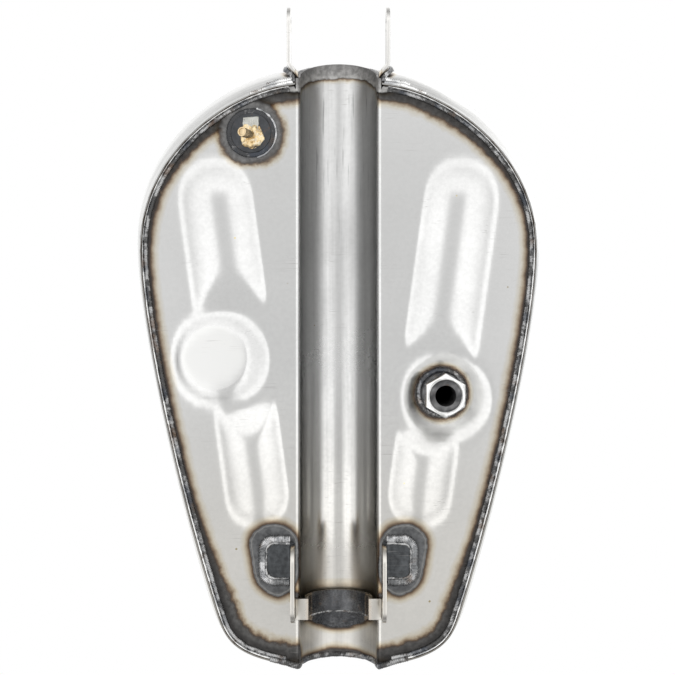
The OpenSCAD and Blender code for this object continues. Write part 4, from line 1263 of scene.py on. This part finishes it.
# %% Ears, brackets, strap, plate and fittings
for word in ("left", "right"):
    eased("front_ear_" + word, "front_ear_" + word + "_eased", 0.4, ear_steel)
    eased("rear_bracket_" + word, "rear_bracket_" + word + "_eased", 0.4, ear_steel)
eased("rear_saddle_strap", "saddle_strap", 0.4, strap_scale)
eased("vent_plate", "vent_disc", 0.4, plate_scale)
eased("outlet_bung", "outlet_collar", 0.3, bung_scale)
eased("outlet_union_nut", "union_nut", 0.35, nut_steel, "union_nut", 3)
eased("vent_tube", "vent_pipe", 0.12, tube_brass)
eased("vent_tube_plug", "vent_pipe_plug", 0.15, tube_brass)
eased("filler_neck", "filler_ring", 0.3, neck_steel)

# %% The strap's weld is a lens with a thin bright crest along the strap
CREST = 22.6

strap_puddle = puddle("saddle_strap_weld", "strap_puddle", 0.6, 1.0, strap_scale)
for v in strap_puddle.data.vertices:
    v.co = strap_lens(v.co)
crest_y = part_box("rear_saddle_strap")[1].y + 0.4 * MM
crest = []
for step in range(21):
    angle = math.radians(28 + 124 * step / 20)
    crest.append(Vector((CREST * MM * math.cos(angle), crest_y, arch_z + CREST * MM * math.sin(angle))))
dress(lay_bead("strap_crest", crest, 2.2, 2.0, 0.7, rough=3.4), bright_bead)

# %% [markdown]
# ## Braze round the vent pipe
#
# The pipe is brazed to its plate. Braze wets the plate and freezes in an uneven, golden puddle,
# thick against the pipe and thin at its rim. A flattened sphere is pushed about by the same
# cloud texture, more sideways than upwards.

# %% Braze puddle
low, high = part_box("vent_tube_braze")
braze_middle = (low + high) / 2
braze = started(
    "braze_puddle", bpy.ops.mesh.primitive_uv_sphere_add,
    (8.2 * MM, 9.6 * MM, 1.7 * MM), (braze_middle.x + 1.2 * MM, braze_middle.y, high.z),
    segments=72, ring_count=36, radius=1,
)
for grain, tall in ((7, 5.5), (2.2, 1.0)):
    lumps.noise_scale = grain * MM
    roughen(braze, tall)
lumps.noise_scale = BEAD_GRAIN * MM
smooth(braze, 60)

golden, tree = new_material("golden_braze")
patch = noise(tree, object_place(tree), 260.0, 4, 0.65)
flux = smooth_step(tree, noise(tree, object_place(tree), 420.0, 4, 0.7), 0.50, 0.62)
colour = blend(tree, smooth_step(tree, patch, 0.35, 0.65), (0.62, 0.44, 0.22), (0.90, 0.74, 0.46))
colour = blend(tree, times(tree, flux, 0.6), colour, (0.88, 0.84, 0.72))
gloss = smooth_step(tree, patch, 0.3, 0.7, 0.28, 0.48)
metal = smooth_step(tree, flux, 0.0, 1.0, 0.95, 0.25)
surface(tree, colour, gloss, metal, patch, 0.4)
dress(braze, golden, stands_for=["vent_tube_braze"])

# %% A flake of glassy flux, left where the brazing rod was lifted away
flake = started(
    "flux_flake", bpy.ops.mesh.primitive_cube_add,
    (11 * MM, 9 * MM, 1.3 * MM), at(-61.8, 40.2, (high.z - floor_z) / MM), size=1,
)
finish_with(flake, "REMESH", mode="VOXEL", voxel_size=0.4 * MM, use_smooth_shade=True)
roughen(flake, 2.6)
finish_with(flake, "SMOOTH", factor=0.5, iterations=6)
smooth(flake, 60)
flux_glass = plain_finish(
    "flux_glass", (0.56, 0.56, 0.52), (0.42, 0.42, 0.39), 160.0, (0.22, 0.38), 0.35, 0.05
)
dress(flake, flux_glass)

# %% [markdown]
# ## The cap
#
# The cap has three pieces: a chromed cover with finger flutes, a black nylon plug that screws
# into the neck, and a rubber gasket between cap and neck.


# %% Chrome, nylon and rubber
# name: two tones, scale of the drift, roughness range, metallic share, relief
CAP_FINISHES = {
    "cap_chrome": ((0.86, 0.87, 0.88), (0.80, 0.81, 0.83), 30.0, (0.05, 0.11), 1.0, 0.002),
    "plug_nylon": ((0.030, 0.031, 0.033), (0.045, 0.046, 0.048), 60.0, (0.42, 0.56), 0.0, 0.03),
    "gasket_rubber": ((0.020, 0.020, 0.021), (0.034, 0.034, 0.035), 80.0, (0.62, 0.78), 0.0, 0.04),
}
chrome, nylon, rubber = (plain_finish(name, *look) for name, look in CAP_FINISHES.items())

eased("cap_gasket", "gasket_ring", 0.35, rubber, "gasket")
eased("cap_plug", "screw_plug", 0.3, nylon, "cap")
eased("cap_cover", "chrome_cover", 0.5, chrome, "cap", 3)


# %% The plug's screw thread, drawn by a Screw modifier from one small ridge
THREAD_RADIUS, THREAD_HEIGHT = 19.0, 1.1
PITCH, TURNS = 3.5, 2.0
THREAD_STEPS = int(48 * TURNS)

ridge = started(
    "plug_thread", bpy.ops.mesh.primitive_circle_add,
    vertices=4, radius=1, rotation=(math.pi / 2, 0, 0),
)
open_mesh(ridge, action="SELECT")
bpy.ops.transform.resize(value=(THREAD_HEIGHT * MM, 1, 0.33 * PITCH * MM))
bpy.ops.transform.translate(value=(THREAD_RADIUS * MM, 0, 0))
close_mesh()
finish_with(
    ridge, "SCREW", angle=2 * math.pi * TURNS, screw_offset=PITCH * TURNS * MM,
    steps=THREAD_STEPS, render_steps=THREAD_STEPS, axis="Z", use_merge_vertices=False,
)
open_mesh(ridge, action="SELECT")
bpy.ops.mesh.normals_make_consistent(inside=False)
bpy.ops.mesh.select_all(action="DESELECT")
bpy.ops.mesh.select_non_manifold()
bpy.ops.mesh.edge_face_add()
close_mesh()
ridge.location = (*neck_middle.xy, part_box("cap_plug")[0].z + 1.5 * MM)
settle(ridge)
smooth(ridge, 40)
dress(ridge, nylon, "cap")
